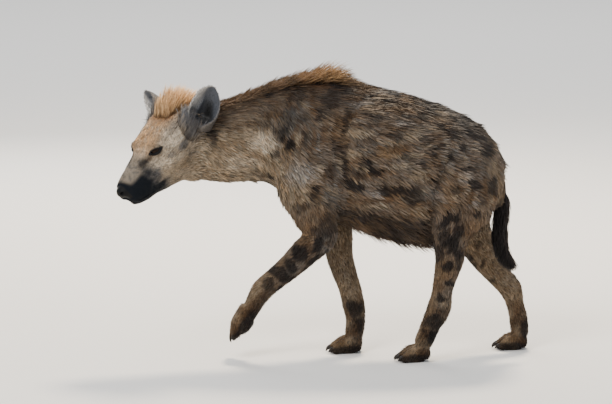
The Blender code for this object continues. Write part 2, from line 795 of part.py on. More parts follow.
def mouth_slit():
    """A thin curved blade along the closed lips, from one corner of the mouth round to the other."""
    rings = []
    inward, outward = MOUTH_DEPTH
    fine, thick = MOUTH_HALF_THICK
    for i in range(15):
        a = math.pi * (i / 14 - 0.5)
        bend, turn = math.cos(a), math.sin(a)
        line = Vector((
            MOUTH_CORNER[0] + MOUTH_GAIN[0] * bend**0.75,
            MOUTH_HALF_WIDTH * turn,
            MOUTH_CORNER[1] + MOUTH_GAIN[1] * bend**0.8,
        ))
        out = Vector((bend * MOUTH_HALF_WIDTH, turn * MOUTH_GAIN[0], 0)).normalized()
        near = line - out * inward
        far = line + out * outward
        rings.append([
            (near.x, near.y, near.z - fine),
            (far.x, far.y, far.z - thick),
            (far.x, far.y, far.z + thick),
            (near.x, near.y, near.z + fine),
        ])
    return mesh_object("mouth slit", [placed_on_head(skinned(rings))])


def face_details(head):
    """Lids round each eye, the eyes' sockets, nostrils and the line of the mouth."""
    bulbs, sockets, openings = [], [], []
    for side in (1, -1):
        place = Vector((EYE_PLACE.x, EYE_PLACE.y * side, EYE_PLACE.z))
        way = Vector((EYE_WAY.x, EYE_WAY.y * side, EYE_WAY.z))
        outer = EYE_RADIUS + GAP + LID
        inner = EYE_RADIUS + GAP
        bulbs.append(mesh_object("lids", [placed_on_head(ball(place, (outer,) * 3, None, 9, 14))]))
        sockets.append(mesh_object("socket", [placed_on_head(ball(place, (inner,) * 3, None, 9, 14))]))
        along = Vector((EYE_SLIT.x, EYE_SLIT.y * side, EYE_SLIT.z))
        openings.append(lens("opening", place, way, along, EYE_LENGTH, EYE_HEIGHT, 0.035))
        x, y, z = NOSTRIL_PLACE
        nostril = placed_on_head(ball((x, y * side, z), NOSTRIL_AXES, None, 8, 10))
        openings.append(mesh_object("nostril", [nostril]))
    joined(head, bulbs)
    return combined(head, sockets + openings + [mouth_slit()], "DIFFERENCE")


def eye(name, side):
    place = Vector((EYE_PLACE.x, EYE_PLACE.y * side, EYE_PLACE.z))
    return mesh_object(name, [placed_on_head(ball(place, (EYE_RADIUS,) * 3, None, 9, 14))])


def ear(name, neighbours):
    """A rounded cup: a thick shell that wraps far round at its root and opens towards its tip."""
    root, tip, facing, width = EARS[name]
    root, tip, facing = Vector(root), Vector(tip), Vector(facing)
    long = (tip - root).normalized()
    facing = (facing - long * facing.dot(long)).normalized()
    side = long.cross(facing)
    length = (tip - root).length
    at = [row[0] for row in EAR_SHAPE]
    rings = []
    for i in range(EAR_STEPS + 1):
        t = i / EAR_STEPS
        half = width * np.interp(t, at, [row[1] for row in EAR_SHAPE])
        wrap = math.radians(np.interp(t, at, [row[2] for row in EAR_SHAPE]))
        radius = half / math.sin(min(wrap, math.pi / 2))
        wall = min(EAR_WALL * (1.25 - 0.6 * t), 0.5 * radius)
        hollow = min(1.0, t / 0.16)
        spine = root + long * length * t - facing * (0.012 * math.sin(math.pi * t) + 0.026 * (1 - t))
        ring = []
        for j in range(2 * EAR_SPREAD + 2):
            inside = j > EAR_SPREAD
            a = wrap * (2 * (2 * EAR_SPREAD + 1 - j if inside else j) / EAR_SPREAD - 1)
            r = max(0.06 * radius, (radius - wall) * hollow) if inside else radius
            ring.append(spine + side * (r * math.sin(a)) + facing * (radius - r * math.cos(a)))
        rings.append([tuple(p) for p in ring])
    made = mesh_object(name, [placed_on_head(skinned(rings))])
    return kept_largest(combined(made, [swollen_copy(n) for n in neighbours], "DIFFERENCE"))


def swollen_copy(made):
    """A copy whose skin stands the gap outside the given one, to cut a neighbour clear of it."""
    copy = bpy.data.objects.new(made.name + " swollen", made.data.copy())
    bpy.context.scene.collection.objects.link(copy)
    swell = copy.modifiers.new("swell", "DISPLACE")
    swell.strength = GAP * 1.2
    swell.mid_level = 0.0
    return settle(copy)


def tail(torso):
    made = mesh_object("tail", [oval_tube(TAIL, 0.030, 8)])
    brush = tail_locks(random.Random(LOCK_SEED))
    joined(made, [mesh_object("brush", [shape]) for shape in brush])
    return kept_largest(combined(made, [swollen_copy(torso)], "DIFFERENCE"))


def finish(name, colour, rough):
    made = bpy.data.materials.get(name) or bpy.data.materials.new(name)
    made.use_nodes = True
    shader = made.node_tree.nodes["Principled BSDF"]
    shader.inputs["Base Color"].default_value = colour
    shader.inputs["Roughness"].default_value = rough
    shader.inputs["Metallic"].default_value = 0.0
    return made


def hyena():
    body = thinned(flesh(), SKIN_TRIANGLES)
    tree = BVHTree.FromObject(body, bpy.context.evaluated_depsgraph_get())
    draw = random.Random(LOCK_SEED)
    hair = mane_locks(tree, draw) + crown_locks(tree, draw) + fringe_locks(tree, draw)
    joined(body, [mesh_object("grown", [shape]) for shape in hair + claws()])
    combined(body, [region("above floor", FLOOR)], "INTERSECT")
    nodes = []
    legs = {}
    for name, planes in LEG_PLANES.items():
        legs[name] = parted(body, name, planes)
    for (name, planes), leg in zip(PAW_PLANES.items(), legs.values()):
        nodes += [parted(leg, name, planes), kept_largest(leg)]
    head = parted(body, "head", HEAD_PLANES)
    neck = parted(body, "neck", NECK_PLANES)
    body.name = "torso"
    kept_largest(body)
    face_details(head)
    kept_largest(head)
    nodes += [body, neck, head, eye("eye_left", 1), eye("eye_right", -1)]
    nodes += [ear(name, (head, neck)) for name in EARS]
    nodes.append(tail(body))
    centre = bpy.data.objects.new("hyena", None)
    bpy.context.scene.collection.objects.link(centre)
    corners = np.array([v.co for node in nodes for v in node.data.vertices])
    middle = (corners.min(axis=0) + corners.max(axis=0)) / 2
    centre.location = (-middle[0], -middle[1], 0)
    for node in nodes:
        node.parent = centre
        node.data.materials.clear()
        node.data.materials.append(finish(*FINISHES.get(node.name, COAT)))
        node.data.shade_smooth()
        node.data.set_sharp_from_angle(angle=math.radians(40))
    return nodes


clear_scene()
hyena()
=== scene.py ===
"""Spotted hyena, life size: skin, eyes, ears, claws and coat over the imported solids.

Metres, +Z up. The animal walks towards -X, and its left side faces -Y.
"""

import math

import bmesh
import bpy
import numpy as np
from mathutils import Matrix, Vector


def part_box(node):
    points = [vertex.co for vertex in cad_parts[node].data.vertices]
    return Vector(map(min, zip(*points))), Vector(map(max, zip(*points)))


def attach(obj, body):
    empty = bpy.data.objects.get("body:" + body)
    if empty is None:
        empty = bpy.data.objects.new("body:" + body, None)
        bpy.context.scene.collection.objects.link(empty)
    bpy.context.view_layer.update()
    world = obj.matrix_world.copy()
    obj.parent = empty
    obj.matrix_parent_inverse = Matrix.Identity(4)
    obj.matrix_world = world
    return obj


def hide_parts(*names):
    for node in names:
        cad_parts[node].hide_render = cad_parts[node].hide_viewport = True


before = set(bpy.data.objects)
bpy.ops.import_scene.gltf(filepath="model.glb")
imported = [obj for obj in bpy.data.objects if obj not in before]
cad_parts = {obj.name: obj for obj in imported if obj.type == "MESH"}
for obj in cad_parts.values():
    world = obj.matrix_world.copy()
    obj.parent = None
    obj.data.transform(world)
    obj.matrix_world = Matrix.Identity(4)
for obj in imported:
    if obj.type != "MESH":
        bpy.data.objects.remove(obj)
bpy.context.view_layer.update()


# Camera
# A long lens looks from a little above, square to the animal's walk. The head's own frame is set
# up here too, because its eye places everything else.
HEAD_PLACE = Vector((-0.445, -0.060, 0.672))
HEAD_TURN = math.radians(42)
HEAD_DIP = math.radians(42)
EYE_PLACE = Vector((0.104, 0.0415, 0.0155))
CAMERA_RISE = math.radians(7.5)
CAMERA_REACH = 12.0
PICTURE_WIDTH = 1.775
PICTURE_CENTRE = (-0.055, 0.441)
SENSOR_WIDTH = 36
VIEW_END = 100


def head_matrix():
    """The head's frame, forward, left and up, turned towards the near side and dipped."""
    forward = Vector((
        -math.cos(HEAD_TURN) * math.cos(HEAD_DIP),
        -math.sin(HEAD_TURN) * math.cos(HEAD_DIP),
        -math.sin(HEAD_DIP),
    ))
    left = Vector((math.sin(HEAD_TURN), -math.cos(HEAD_TURN), 0.0))
    turned = Matrix((forward, left, forward.cross(left))).transposed().to_4x4()
    return Matrix.Translation(HEAD_PLACE) @ turned


HEAD = head_matrix()
eye_low, eye_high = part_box("eye_left")
SHIFT = (eye_low + eye_high) / 2 - HEAD @ EYE_PLACE

back = Vector((0, -math.cos(CAMERA_RISE), math.sin(CAMERA_RISE)))
upward = Vector((0, math.sin(CAMERA_RISE), math.cos(CAMERA_RISE)))
camera = bpy.data.objects.new("camera", bpy.data.cameras.new("camera"))
bpy.context.scene.collection.objects.link(camera)
camera.data.sensor_width = SENSOR_WIDTH
camera.data.lens = SENSOR_WIDTH * CAMERA_REACH / PICTURE_WIDTH
camera.data.clip_end = VIEW_END
camera.location = SHIFT + Vector((PICTURE_CENTRE[0], 0, 0)) + upward * PICTURE_CENTRE[1]
camera.location += back * CAMERA_REACH
camera.rotation_mode = "QUATERNION"
camera.rotation_quaternion = (-back).to_track_quat("-Z", "Y")
bpy.context.scene.camera = camera


# Floor and lights
# A plain pale studio floor under broad soft lamps, with a wide one for the backdrop, and a warm one
# high behind the animal that catches the tips of its mane.
FLOOR_COLOUR = (0.80, 0.775, 0.735, 1)
FLOOR_REACH = 30
FLOOR_CORNERS = ((-1, -1), (1, -1), (1, 1), (-1, 1))
STUDIO_COLOUR = (0.80, 0.84, 0.90, 1)
STUDIO_STRENGTH = 0.90
# Each lamp: its name, place, the point it looks at, size, power and colour.
LAMPS = (
    ("key", (-2.4, -4.2, 4.4), (0, 0, 0.45), 2.6, 300, (1.0, 0.97, 0.93)),
    ("fill", (3.6, -3.4, 2.2), (0, 0, 0.45), 3.0, 50, (0.90, 0.95, 1.0)),
    ("far side", (-1.5, 4.5, 2.4), (0, 0, 0.45), 3.0, 80, (1.0, 0.97, 0.93)),
    ("sun", (0.6, 3.0, 4.6), (0, 0, 0.45), 1.0, 420, (1.0, 0.86, 0.66)),
    ("backdrop", (0, 9.5, 7.0), (0, 10.5, 0), 9.0, 520, (1.0, 0.99, 0.97)),
)


def principled(name, rough):
    """A new material with its node tree and its shader."""
    made = bpy.data.materials.new(name)
    made.use_nodes = True
    shader = made.node_tree.nodes["Principled BSDF"]
    shader.inputs["Roughness"].default_value = rough
    return made, made.node_tree, shader


def wired(tree, kind, values=None, **links):
    """A shader node with some inputs set by number or name, and others joined to outputs."""
    node = tree.nodes.new(kind)
    for key, value in (values or {}).items():
        node.inputs[key].default_value = value
    for key, source in links.items():
        tree.links.new(source, node.inputs[key.replace("_", " ")])
    return node


floor_mesh = bpy.data.meshes.new("floor")
corners = [(x * FLOOR_REACH, y * FLOOR_REACH, 0) for x, y in FLOOR_CORNERS]
floor_mesh.from_pydata(corners, [], [(0, 1, 2, 3)])
floor = bpy.data.objects.new("floor", floor_mesh)
bpy.context.scene.collection.objects.link(floor)
plaster, tree, shader = principled("pale floor", 0.9)
shader.inputs["Base Color"].default_value = FLOOR_COLOUR
floor_mesh.materials.append(plaster)

for name, place, aim, size, power, colour in LAMPS:
    lamp = bpy.data.objects.new(name, bpy.data.lights.new(name, "AREA"))
    bpy.context.scene.collection.objects.link(lamp)
    lamp.data.shape = "DISK"
    lamp.data.size = size
    lamp.data.energy = power
    lamp.data.color = colour
    lamp.location = place
    lamp.rotation_mode = "QUATERNION"
    lamp.rotation_quaternion = (Vector(aim) - Vector(place)).to_track_quat("-Z", "Y")

world = bpy.data.worlds.new("studio")
bpy.context.scene.world = world
world.use_nodes = True
world.node_tree.nodes["Background"].inputs["Color"].default_value = STUDIO_COLOUR
world.node_tree.nodes["Background"].inputs["Strength"].default_value = STUDIO_STRENGTH


# Skin
# One hide over the whole body, drawn tight over bone and muscle. It is lofted through the body's
# stations, fused, and sunk below the coat by the coat's own depth at each place.
BODY_VOXEL, BODY_ROUNDS = 0.0046, 32
FACE_VOXEL, FACE_ROUNDS = 0.0028, 25
SKIN_VOXEL, SKIN_ROUNDS = 0.0031, 6
# Trunk, nape to rump: x, y, top, bottom, half width, narrowing of the top.
TRUNK = (
    (-0.432, -0.052, 0.700, 0.528, 0.056, 1.0),
    (-0.396, -0.038, 0.715, 0.506, 0.074, 1.0),
    (-0.348, -0.021, 0.731, 0.504, 0.086, 1.1),
    (-0.290, -0.006, 0.746, 0.498, 0.093, 1.2),
    (-0.232, 0.003, 0.765, 0.500, 0.100, 1.25),
    (-0.174, 0.010, 0.784, 0.498, 0.110, 1.3),
    (-0.116, 0.012, 0.800, 0.456, 0.122, 1.35),
    (-0.065, 0.013, 0.808, 0.402, 0.132, 1.35),
    (-0.005, 0.013, 0.810, 0.380, 0.140, 1.3),
    (0.060, 0.012, 0.802, 0.374, 0.149, 1.2),
    (0.130, 0.011, 0.788, 0.352, 0.157, 1.1),
    (0.218, 0.010, 0.768, 0.330, 0.162, 1.0),
    (0.285, 0.009, 0.749, 0.324, 0.158, 1.0),
    (0.345, 0.008, 0.726, 0.348, 0.148, 1.0),
    (0.400, 0.006, 0.700, 0.386, 0.134, 1.0),
    (0.450, 0.004, 0.666, 0.408, 0.117, 1.0),
    (0.490, 0.002, 0.624, 0.424, 0.094, 1.0),
    (0.516, 0.000, 0.572, 0.445, 0.060, 1.0),
)
# Legs, shoulder or hip to knuckles: x, y, z, half depth, half width.
LEGS = {
    "foreleg_left": (
        (-0.012, -0.048, 0.700, 0.058, 0.040),
        (-0.040, -0.070, 0.610, 0.080, 0.052),
        (-0.066, -0.083, 0.515, 0.082, 0.055),
        (-0.036, -0.090, 0.430, 0.066, 0.050),
        (-0.012, -0.092, 0.362, 0.051, 0.043),
        (-0.055, -0.090, 0.315, 0.045, 0.038),
        (-0.100, -0.086, 0.270, 0.039, 0.034),
        (-0.143, -0.082, 0.233, 0.035, 0.031),
        (-0.178, -0.078, 0.203, 0.034, 0.032),
        (-0.201, -0.075, 0.166, 0.028, 0.032),
        (-0.223, -0.073, 0.126, 0.025, 0.035),
    ),
    "foreleg_right": (
        (0.000, 0.066, 0.690, 0.058, 0.040),
        (-0.030, 0.088, 0.600, 0.080, 0.052),
        (-0.048, 0.100, 0.505, 0.080, 0.055),
        (0.000, 0.100, 0.420, 0.062, 0.050),
        (0.036, 0.089, 0.350, 0.048, 0.043),
        (0.042, 0.077, 0.282, 0.042, 0.038),
        (0.057, 0.066, 0.230, 0.038, 0.034),
        (0.073, 0.056, 0.181, 0.035, 0.032),
        (0.083, 0.049, 0.138, 0.034, 0.033),
        (0.089, 0.043, 0.090, 0.029, 0.033),
        (0.083, 0.039, 0.041, 0.027, 0.036),
    ),
    "hindleg_left": (
        (0.392, -0.056, 0.600, 0.080, 0.056),
        (0.394, -0.086, 0.520, 0.102, 0.066),
        (0.384, -0.100, 0.440, 0.096, 0.062),
        (0.367, -0.105, 0.385, 0.070, 0.053),
        (0.359, -0.108, 0.340, 0.053, 0.046),
        (0.356, -0.110, 0.295, 0.045, 0.039),
        (0.347, -0.111, 0.252, 0.038, 0.034),
        (0.336, -0.112, 0.205, 0.032, 0.031),
        (0.327, -0.113, 0.155, 0.037, 0.029),
        (0.303, -0.116, 0.103, 0.030, 0.029),
        (0.280, -0.118, 0.052, 0.028, 0.034),
    ),
    "hindleg_right": (
        (0.402, 0.056, 0.590, 0.080, 0.056),
        (0.408, 0.086, 0.510, 0.098, 0.066),
        (0.406, 0.100, 0.430, 0.092, 0.062),
        (0.420, 0.105, 0.360, 0.070, 0.052),
        (0.445, 0.106, 0.305, 0.055, 0.045),
        (0.475, 0.104, 0.255, 0.043, 0.038),
        (0.508, 0.101, 0.215, 0.037, 0.033),
        (0.541, 0.098, 0.178, 0.036, 0.030),
        (0.555, 0.096, 0.135, 0.028, 0.028),
        (0.565, 0.095, 0.092, 0.028, 0.029),
        (0.570, 0.095, 0.047, 0.028, 0.034),
    ),
}
# Paws: the knuckle row's middle, the way the toes point, toe length, the spread of the row.
PAWS = {
    "foreleg_left": ((-0.226, -0.073, 0.118), (-0.58, -0.04, -0.81), 0.078, 0.082),
    "foreleg_right": ((0.076, 0.036, 0.0145), (-0.99, 0.03, -0.08), 0.070, 0.088),
    "hindleg_left": ((0.270, -0.118, 0.015), (-0.99, -0.05, -0.08), 0.068, 0.080),
    "hindleg_right": ((0.560, 0.095, 0.015), (-0.99, 0.03, -0.08), 0.068, 0.080),
}
# Skull and muzzle in the head's frame: forward, top, widest, bottom, half width, squareness above
# and below the widest place.
SKULL = (
    (-0.085, 0.002, -0.040, -0.085, 0.050, 2.0, 2.0),
    (-0.045, 0.034, -0.034, -0.112, 0.069, 2.2, 2.0),
    (0.000, 0.046, -0.030, -0.128, 0.081, 2.3, 2.0),
    (0.040, 0.049, -0.028, -0.146, 0.086, 2.4, 2.0),
    (0.078, 0.046, -0.030, -0.144, 0.079, 2.4, 2.0),
    (0.108, 0.038, -0.034, -0.132, 0.064, 2.4, 2.1),
    (0.140, 0.028, -0.040, -0.117, 0.054, 2.5, 2.2),
    (0.175, 0.020, -0.042, -0.098, 0.049, 2.6, 2.3),
    (0.210, 0.014, -0.042, -0.086, 0.046, 2.7, 2.4),
    (0.240, 0.007, -0.036, -0.072, 0.041, 2.5, 2.4),
)
# Cheeks, jaw muscles, brows, temples, muzzle pads and the bridge's sides: centre and half axes.
FACE_EGGS = (
    ((0.050, 0.052, -0.030), (0.062, 0.036, 0.034)),
    ((0.030, 0.044, -0.080), (0.060, 0.036, 0.044)),
    ((0.090, 0.032, 0.026), (0.036, 0.022, 0.016)),
    ((0.010, 0.030, 0.020), (0.060, 0.034, 0.028)),
    ((0.210, 0.020, -0.034), (0.046, 0.025, 0.032)),
    ((0.150, 0.030, -0.010), (0.050, 0.018, 0.024)),
)
NOSE_EGG = ((0.249, 0, -0.011), (0.018, 0.022, 0.018))
CHIN_EGG = ((0.208, 0, -0.064), (0.040, 0.028, 0.017))
NOSTRIL_PLACE = Vector((0.259, 0.0115, -0.006))
NOSTRIL_AXES = (0.009, 0.0050, 0.0052)
MOUTH_CORNER = (0.150, -0.080)
MOUTH_GAIN = (0.098, 0.034)
MOUTH_HALF_WIDTH = 0.046
EYE_RADIUS = 0.0160
EYE_WAY = Vector((0.60, 0.70, 0.36)).normalized()
EYE_SLIT = Vector((0.76, -0.57, 0.08))
EYE_LENGTH = 0.0310
EYE_HEIGHT = 0.0120
LID = 0.0026
RIM_LENGTH, RIM_HEIGHT = 0.0245, 0.0108
CLEFT_DEPTH, CLEFT_WIDTH = 0.0080, 0.0032
# Folds of the body: depth, half width, and the x and z of the line that each follows. They lie
# behind the shoulder, before the thigh, before the shoulder and low on the neck behind the jaw.
FOLDS = (
    (0.007, 0.022, (
        (0.084, 0.750), (0.060, 0.690), (0.048, 0.620), (0.058, 0.560), (0.056, 0.500), (0.074, 0.430),
    )),
    (0.006, 0.016, ((0.350, 0.610), (0.304, 0.510), (0.290, 0.410))),
    (0.006, 0.015, ((-0.160, 0.710), (-0.142, 0.620), (-0.118, 0.530))),
    (0.003, 0.010, ((-0.365, 0.610), (-0.345, 0.550))),
)
# Rounds of smoothing just behind the toes, where paw and leg meet.
PAW_SOFTENING = 26
SOLE_GAP = 0.0005
SOCKET_GAP = 0.0002
# How deep the coat is over the skin, at each station of each mass.
COAT_DEPTH = {
    "trunk": (0.010, 0.011, 0.012, 0.012, 0.012, 0.011, 0.010, 0.010, 0.010, 0.011, 0.012, 0.012,
              0.011, 0.010, 0.009, 0.008, 0.007, 0.006),
    "leg": (0.010, 0.010, 0.009, 0.0065, 0.005, 0.004, 0.0035, 0.003, 0.0028, 0.0022, 0.0016),
    "head": (0.0004, 0.0006, 0.0010, 0.0014, 0.0020, 0.0028, 0.0038, 0.005, 0.007, 0.009),
}


def smooth_stations(stations, step):
    """Rows of numbers read about every step metres along a smooth curve through the stations."""
    rows = np.array(stations, float)
    gaps = np.linalg.norm(np.diff(rows[:, :3], axis=0), axis=1)
    along = np.concatenate([[0.0], np.cumsum(gaps)])
    slopes = np.gradient(rows, along, axis=0)
    count = max(2, round(along[-1] / step))
    places = np.linspace(0, along[-1], count + 1)
    index = np.clip(np.searchsorted(along, places, side="right") - 1, 0, len(along) - 2)
    span = (along[index + 1] - along[index])[:, None]
    t = (places - along[index])[:, None] / span
    start, end = rows[index], rows[index + 1]
    start_slope, end_slope = slopes[index] * span, slopes[index + 1] * span
    return (
        start * (2 * t**3 - 3 * t**2 + 1)
        + start_slope * (t**3 - 2 * t**2 + t)
        + end * (3 * t**2 - 2 * t**3)
        + end_slope * (t**3 - t**2)
    )


def skinned(rings):
    """Points and faces of one closed surface through rings of equal count, capped at both ends."""
    rings = np.array(rings, float)
    count, sides, _ = rings.shape
    points = [tuple(p) for ring in rings for p in ring]
    points.append(tuple(rings[0].mean(axis=0)))
    points.append(tuple(rings[-1].mean(axis=0)))
    faces = []
    for i in range(count - 1):
        for j in range(sides):
            k = (j + 1) % sides
            faces.append((i * sides + j, i * sides + k, (i + 1) * sides + k, (i + 1) * sides + j))
    first, last = count * sides, count * sides + 1
    for j in range(sides):
        k = (j + 1) % sides
        faces.append((first, k, j))
        faces.append((last, (count - 1) * sides + j, (count - 1) * sides + k))
    return points, faces


def rounded_ends(rows, size_columns, share=0.7):
    """The rows with three more at each end that shrink towards a blunt, rounded tip."""
    rows = [np.array(r, float) for r in rows]
    out = []
    for here, inner, before in ((rows[0], rows[1], True), (rows[-1], rows[-2], False)):
        away = here[:3] - inner[:3]
        away /= max(np.linalg.norm(away), 1e-9)
        reach = share * min(here[c] for c in size_columns)
        made = []
        for angle in (30, 55, 78):
            row = here.copy()
            row[:3] = here[:3] + away * reach * math.sin(math.radians(angle))
            for c in size_columns:
                row[c] = here[c] * math.cos(math.radians(angle))
            made.append(row)
        out.append(made[::-1] if before else made)
    return out[0] + rows + out[1]


def oval_tube(stations, step=0.012, sides=20, across=(0, 1, 0)):
    """A closed tube of oval sections: x, y, z, half depth, half width, the width lying along across."""
    rows = rounded_ends(smooth_stations(stations, step), (3, 4))
    ways = np.gradient(np.array([r[:3] for r in rows]), axis=0)
    rings = []
    for row, way in zip(rows, ways):
        way = way / max(np.linalg.norm(way), 1e-9)
        side = np.array(across, float) - np.dot(across, way) * way
        side /= np.linalg.norm(side)
        deep = np.cross(side, way)
        turns = np.linspace(0, 2 * math.pi, sides, endpoint=False)
        rings.append([
            row[:3] + deep * row[3] * math.cos(a) + side * row[4] * math.sin(a) for a in turns
        ])
    return skinned(rings)


def ball(centre, radii, turn=None, rings=10, sides=16):
    """An egg of three half axes, turned by a matrix where one is given."""
    points = []
    for i in range(1, rings):
        polar = math.pi * i / rings
        points.append([
            (
                radii[0] * math.cos(polar),
                radii[1] * math.sin(polar) * math.cos(2 * math.pi * j / sides),
                radii[2] * math.sin(polar) * math.sin(2 * math.pi * j / sides),
            )
            for j in range(sides)
        ])
    made, faces = skinned(points)
    made[-2] = (radii[0], 0, 0)
    made[-1] = (-radii[0], 0, 0)
    turn = turn or Matrix.Identity(3)
    return [tuple(Vector(centre) + turn @ Vector(p)) for p in made], faces


def trunk():
    """Neck, chest, belly and rump as upright sections."""
    stations = [(x, y, (top + low) / 2, top, low, half, slim) for x, y, top, low, half, slim in TRUNK]
    rings = []
    for x, y, _, top, low, half, slim in smooth_stations(stations, 0.015):
        middle = low + 0.46 * (top - low)
        ring = []
        for a in np.linspace(0, 2 * math.pi, 28, endpoint=False):
            rise, out = math.cos(a), math.sin(a)
            height = top - middle if rise > 0 else middle - low
            power = slim if rise > 0 else 0.92
            ring.append((x, y + half * math.copysign(abs(out) ** power, out), middle + height * rise))
        rings.append(ring)
    return skinned(rings)


def placed_on_head(shape):
    """A shape made in the head's frame, set where the head is."""
    points, faces = shape
    return [tuple(HEAD @ Vector(p)) for p in points], faces


def skull():
    """Skull, muzzle and jaw as sections square to the way the head points."""
    stations = [(f, 0, w, t, l, h, u, d) for f, t, w, l, h, u, d in SKULL]
    rings = []
    for forward, _, widest, top, low, half, above, below in smooth_stations(stations, 0.010):
        ring = []
        for a in np.linspace(0, 2 * math.pi, 26, endpoint=False):
            rise, out = math.cos(a), math.sin(a)
            power = 2 / (above if rise > 0 else below)
            height = (top - widest if rise > 0 else widest - low) * abs(rise) ** power
            ring.append((
                forward,
                half * math.copysign(abs(out) ** power, out),
                widest + math.copysign(height, rise),
            ))
        rings.append(ring)
    return placed_on_head(skinned(rings))


def head_masses():
    """The skull with all that stands out from it."""
    made = [skull()]
    for (x, y, z), axes in FACE_EGGS:
        made += [placed_on_head(ball((x, y * side, z), axes)) for side in (1, -1)]
    made += [placed_on_head(ball(*egg)) for egg in (NOSE_EGG, CHIN_EGG)]
    return made


def toe_frames(name):
    """Each toe of a paw: where it starts, its knuckle, its end, its radius, and its three ways."""
    middle, way, length, spread = PAWS[name]
    middle, way = Vector(middle), Vector(way).normalized()
    side = (Vector((0, 1, 0)) - way * way.y).normalized()
    above = way.cross(side)
    if above.z < 0:
        above = -above
    frames = []
    for i in range(4):
        place = (i - 1.5) / 1.5
        reach = length * (1.0 - 0.14 * place * place)
        fan = side * place * spread * 0.40
        radius = spread * 0.175
        start = middle - way * 0.022 + fan * 0.70 + above * 0.014
        knuckle = middle + way * reach * 0.40 + fan * 0.95 + above * 0.012
        end = middle + way * (reach - radius) + fan * 1.12
        frames.append((start, knuckle, end, radius, way, side, above))
    return frames


def on_paw(name, points):
    """How far each point lies ahead of a paw's middle, and how far above it."""
    *_, way, _, above = toe_frames(name)[0]
    off = points - np.array(PAWS[name][0])
    return off @ np.array(way), off @ np.array(above)


def toes(name):
    """Four toes side by side from the knuckle row, and the pad behind them."""
    made = []
    for start, knuckle, end, radius, way, side, above in toe_frames(name):
        stations = (
            (*start, radius * 1.60, radius * 1.10),
            (*knuckle, radius * 1.30, radius * 1.00),
            (*end, radius * 0.98, radius * 0.92),
        )
        made.append(oval_tube(stations, 0.006, 14, across=tuple(side)))
    middle, _, _, spread = PAWS[name]
    turn = Matrix((way, side, above)).transposed()
    made.append(ball(Vector(middle) + way * 0.016 - above * 0.010, (0.034, spread * 0.44, 0.018), turn))
    return made


def mesh_object(name, shapes):
    """One object whose mesh holds each (points, faces) shape as its own closed shell."""
    mesh = bpy.data.meshes.new(name)
    points, faces = [], []
    for more_points, more_faces in shapes:
        base = len(points)
        points += more_points
        faces += [tuple(base + i for i in f) for f in more_faces]
    mesh.from_pydata(points, [], faces)
    made = bpy.data.objects.new(name, mesh)
    bpy.context.scene.collection.objects.link(made)
    work = bmesh.new()
    work.from_mesh(mesh)
    bmesh.ops.recalc_face_normals(work, faces=work.faces)
    work.to_mesh(mesh)
    work.free()
    return made


def settle(made):
    """The object's modifiers worked into its mesh."""
    graph = bpy.context.evaluated_depsgraph_get()
    mesh = bpy.data.meshes.new_from_object(made.evaluated_get(graph))
    made.modifiers.clear()
    made.data = mesh
    return made


def as_shape(made):
    """An object's points and faces, the object itself being removed."""
    points = [tuple(v.co) for v in made.data.vertices]
    faces = [tuple(p.vertices) for p in made.data.polygons]
    bpy.data.objects.remove(made)
    return points, faces


def fused(made, voxel, rounds):
    """Overlapping shells made one skin, its creases filled by smoothing."""
    remesh = made.modifiers.new("fuse", "REMESH")
    remesh.mode = "VOXEL"
    remesh.voxel_size = voxel
    smooth = made.modifiers.new("soften", "SMOOTH")
    smooth.factor = 0.5
    smooth.iterations = rounds
    return settle(made)


def combined(made, tools, operation):
    """The object with each tool joined to it or cut out of it."""
    for tool in tools:
        cut = made.modifiers.new("cut", "BOOLEAN")
        cut.operation = operation
        cut.object = tool
        cut.solver = "MANIFOLD"
        settle(made)
        bpy.data.objects.remove(tool)
    return made


HEAD_BACK = HEAD.inverted()


def in_head(points):
    """Points in the head's own frame: forward, to its left, and up."""
    turn = np.array(HEAD_BACK.to_3x3())
    return points @ turn.T + np.array(HEAD_BACK.translation)


def ramp(values, start, end):
    """0 before start and 1 after end, smooth between; start may be above end."""
    t = np.clip((values - start) / (end - start), 0, 1)
    return t * t * (3 - 2 * t)


def axis_rows(name):
    """A mass's middle line as x, y, z and mean radius, laid in the direction its hair points."""
    if name == "trunk":
        return np.array([(x, y, (t + l) / 2, (h + (t - l) / 2) / 2) for x, y, t, l, h, _ in TRUNK])
    if name == "head":
        rows = []
        for forward, top, _, low, half, _, _ in SKULL:
            middle = HEAD @ Vector((forward, 0, (top + low) / 2))
            rows.append((*middle, (half + (top - low) / 2) / 2))
        return np.array(rows[::-1])
    return np.array([(x, y, z, (a + b) / 2) for x, y, z, a, b in LEGS[name]])


MASSES = ("trunk", "head", *LEGS)
AXIS = {name: axis_rows(name) for name in MASSES}


def on_axis(points, name):
    """How far points are from a mass's middle line, in radii, how far along it, and its way there."""
    rows = AXIS[name]
    best = np.full(len(points), 1e9)
    along = np.zeros(len(points))
    way = np.zeros((len(points), 3))
    for i in range(len(rows) - 1):
        start, span = rows[i, :3], rows[i + 1, :3] - rows[i, :3]
        t = np.clip((points - start) @ span / (span @ span), 0, 1)
        gap = np.linalg.norm(points - start - t[:, None] * span, axis=1)
        gap /= rows[i, 3] * (1 - t) + rows[i + 1, 3] * t
        closer = gap < best
        best[closer], along[closer] = gap[closer], (i + t)[closer]
        way[closer] = span / np.linalg.norm(span)
    return best, along, way


def masses_at(points):
    """For each mass its share in each point, the place along it, and the way of its hair."""
    found = {name: on_axis(points, name) for name in MASSES}
    nearness = np.array([np.exp(-7 * found[name][0]) for name in MASSES])
    high = {name: ramp(points[:, 2], 0.40, 0.48) for name in LEGS}
    for i, name in enumerate(MASSES):
        if name in LEGS:
            nearness[i] *= 1 - high[name]
        if name == "head":
            nearness[i] *= 3 * ramp(points[:, 0], -0.34, -0.39)
    nearness /= nearness.sum(axis=0) + 1e-12
    return {name: (nearness[i], found[name][1], found[name][2]) for i, name in enumerate(MASSES)}


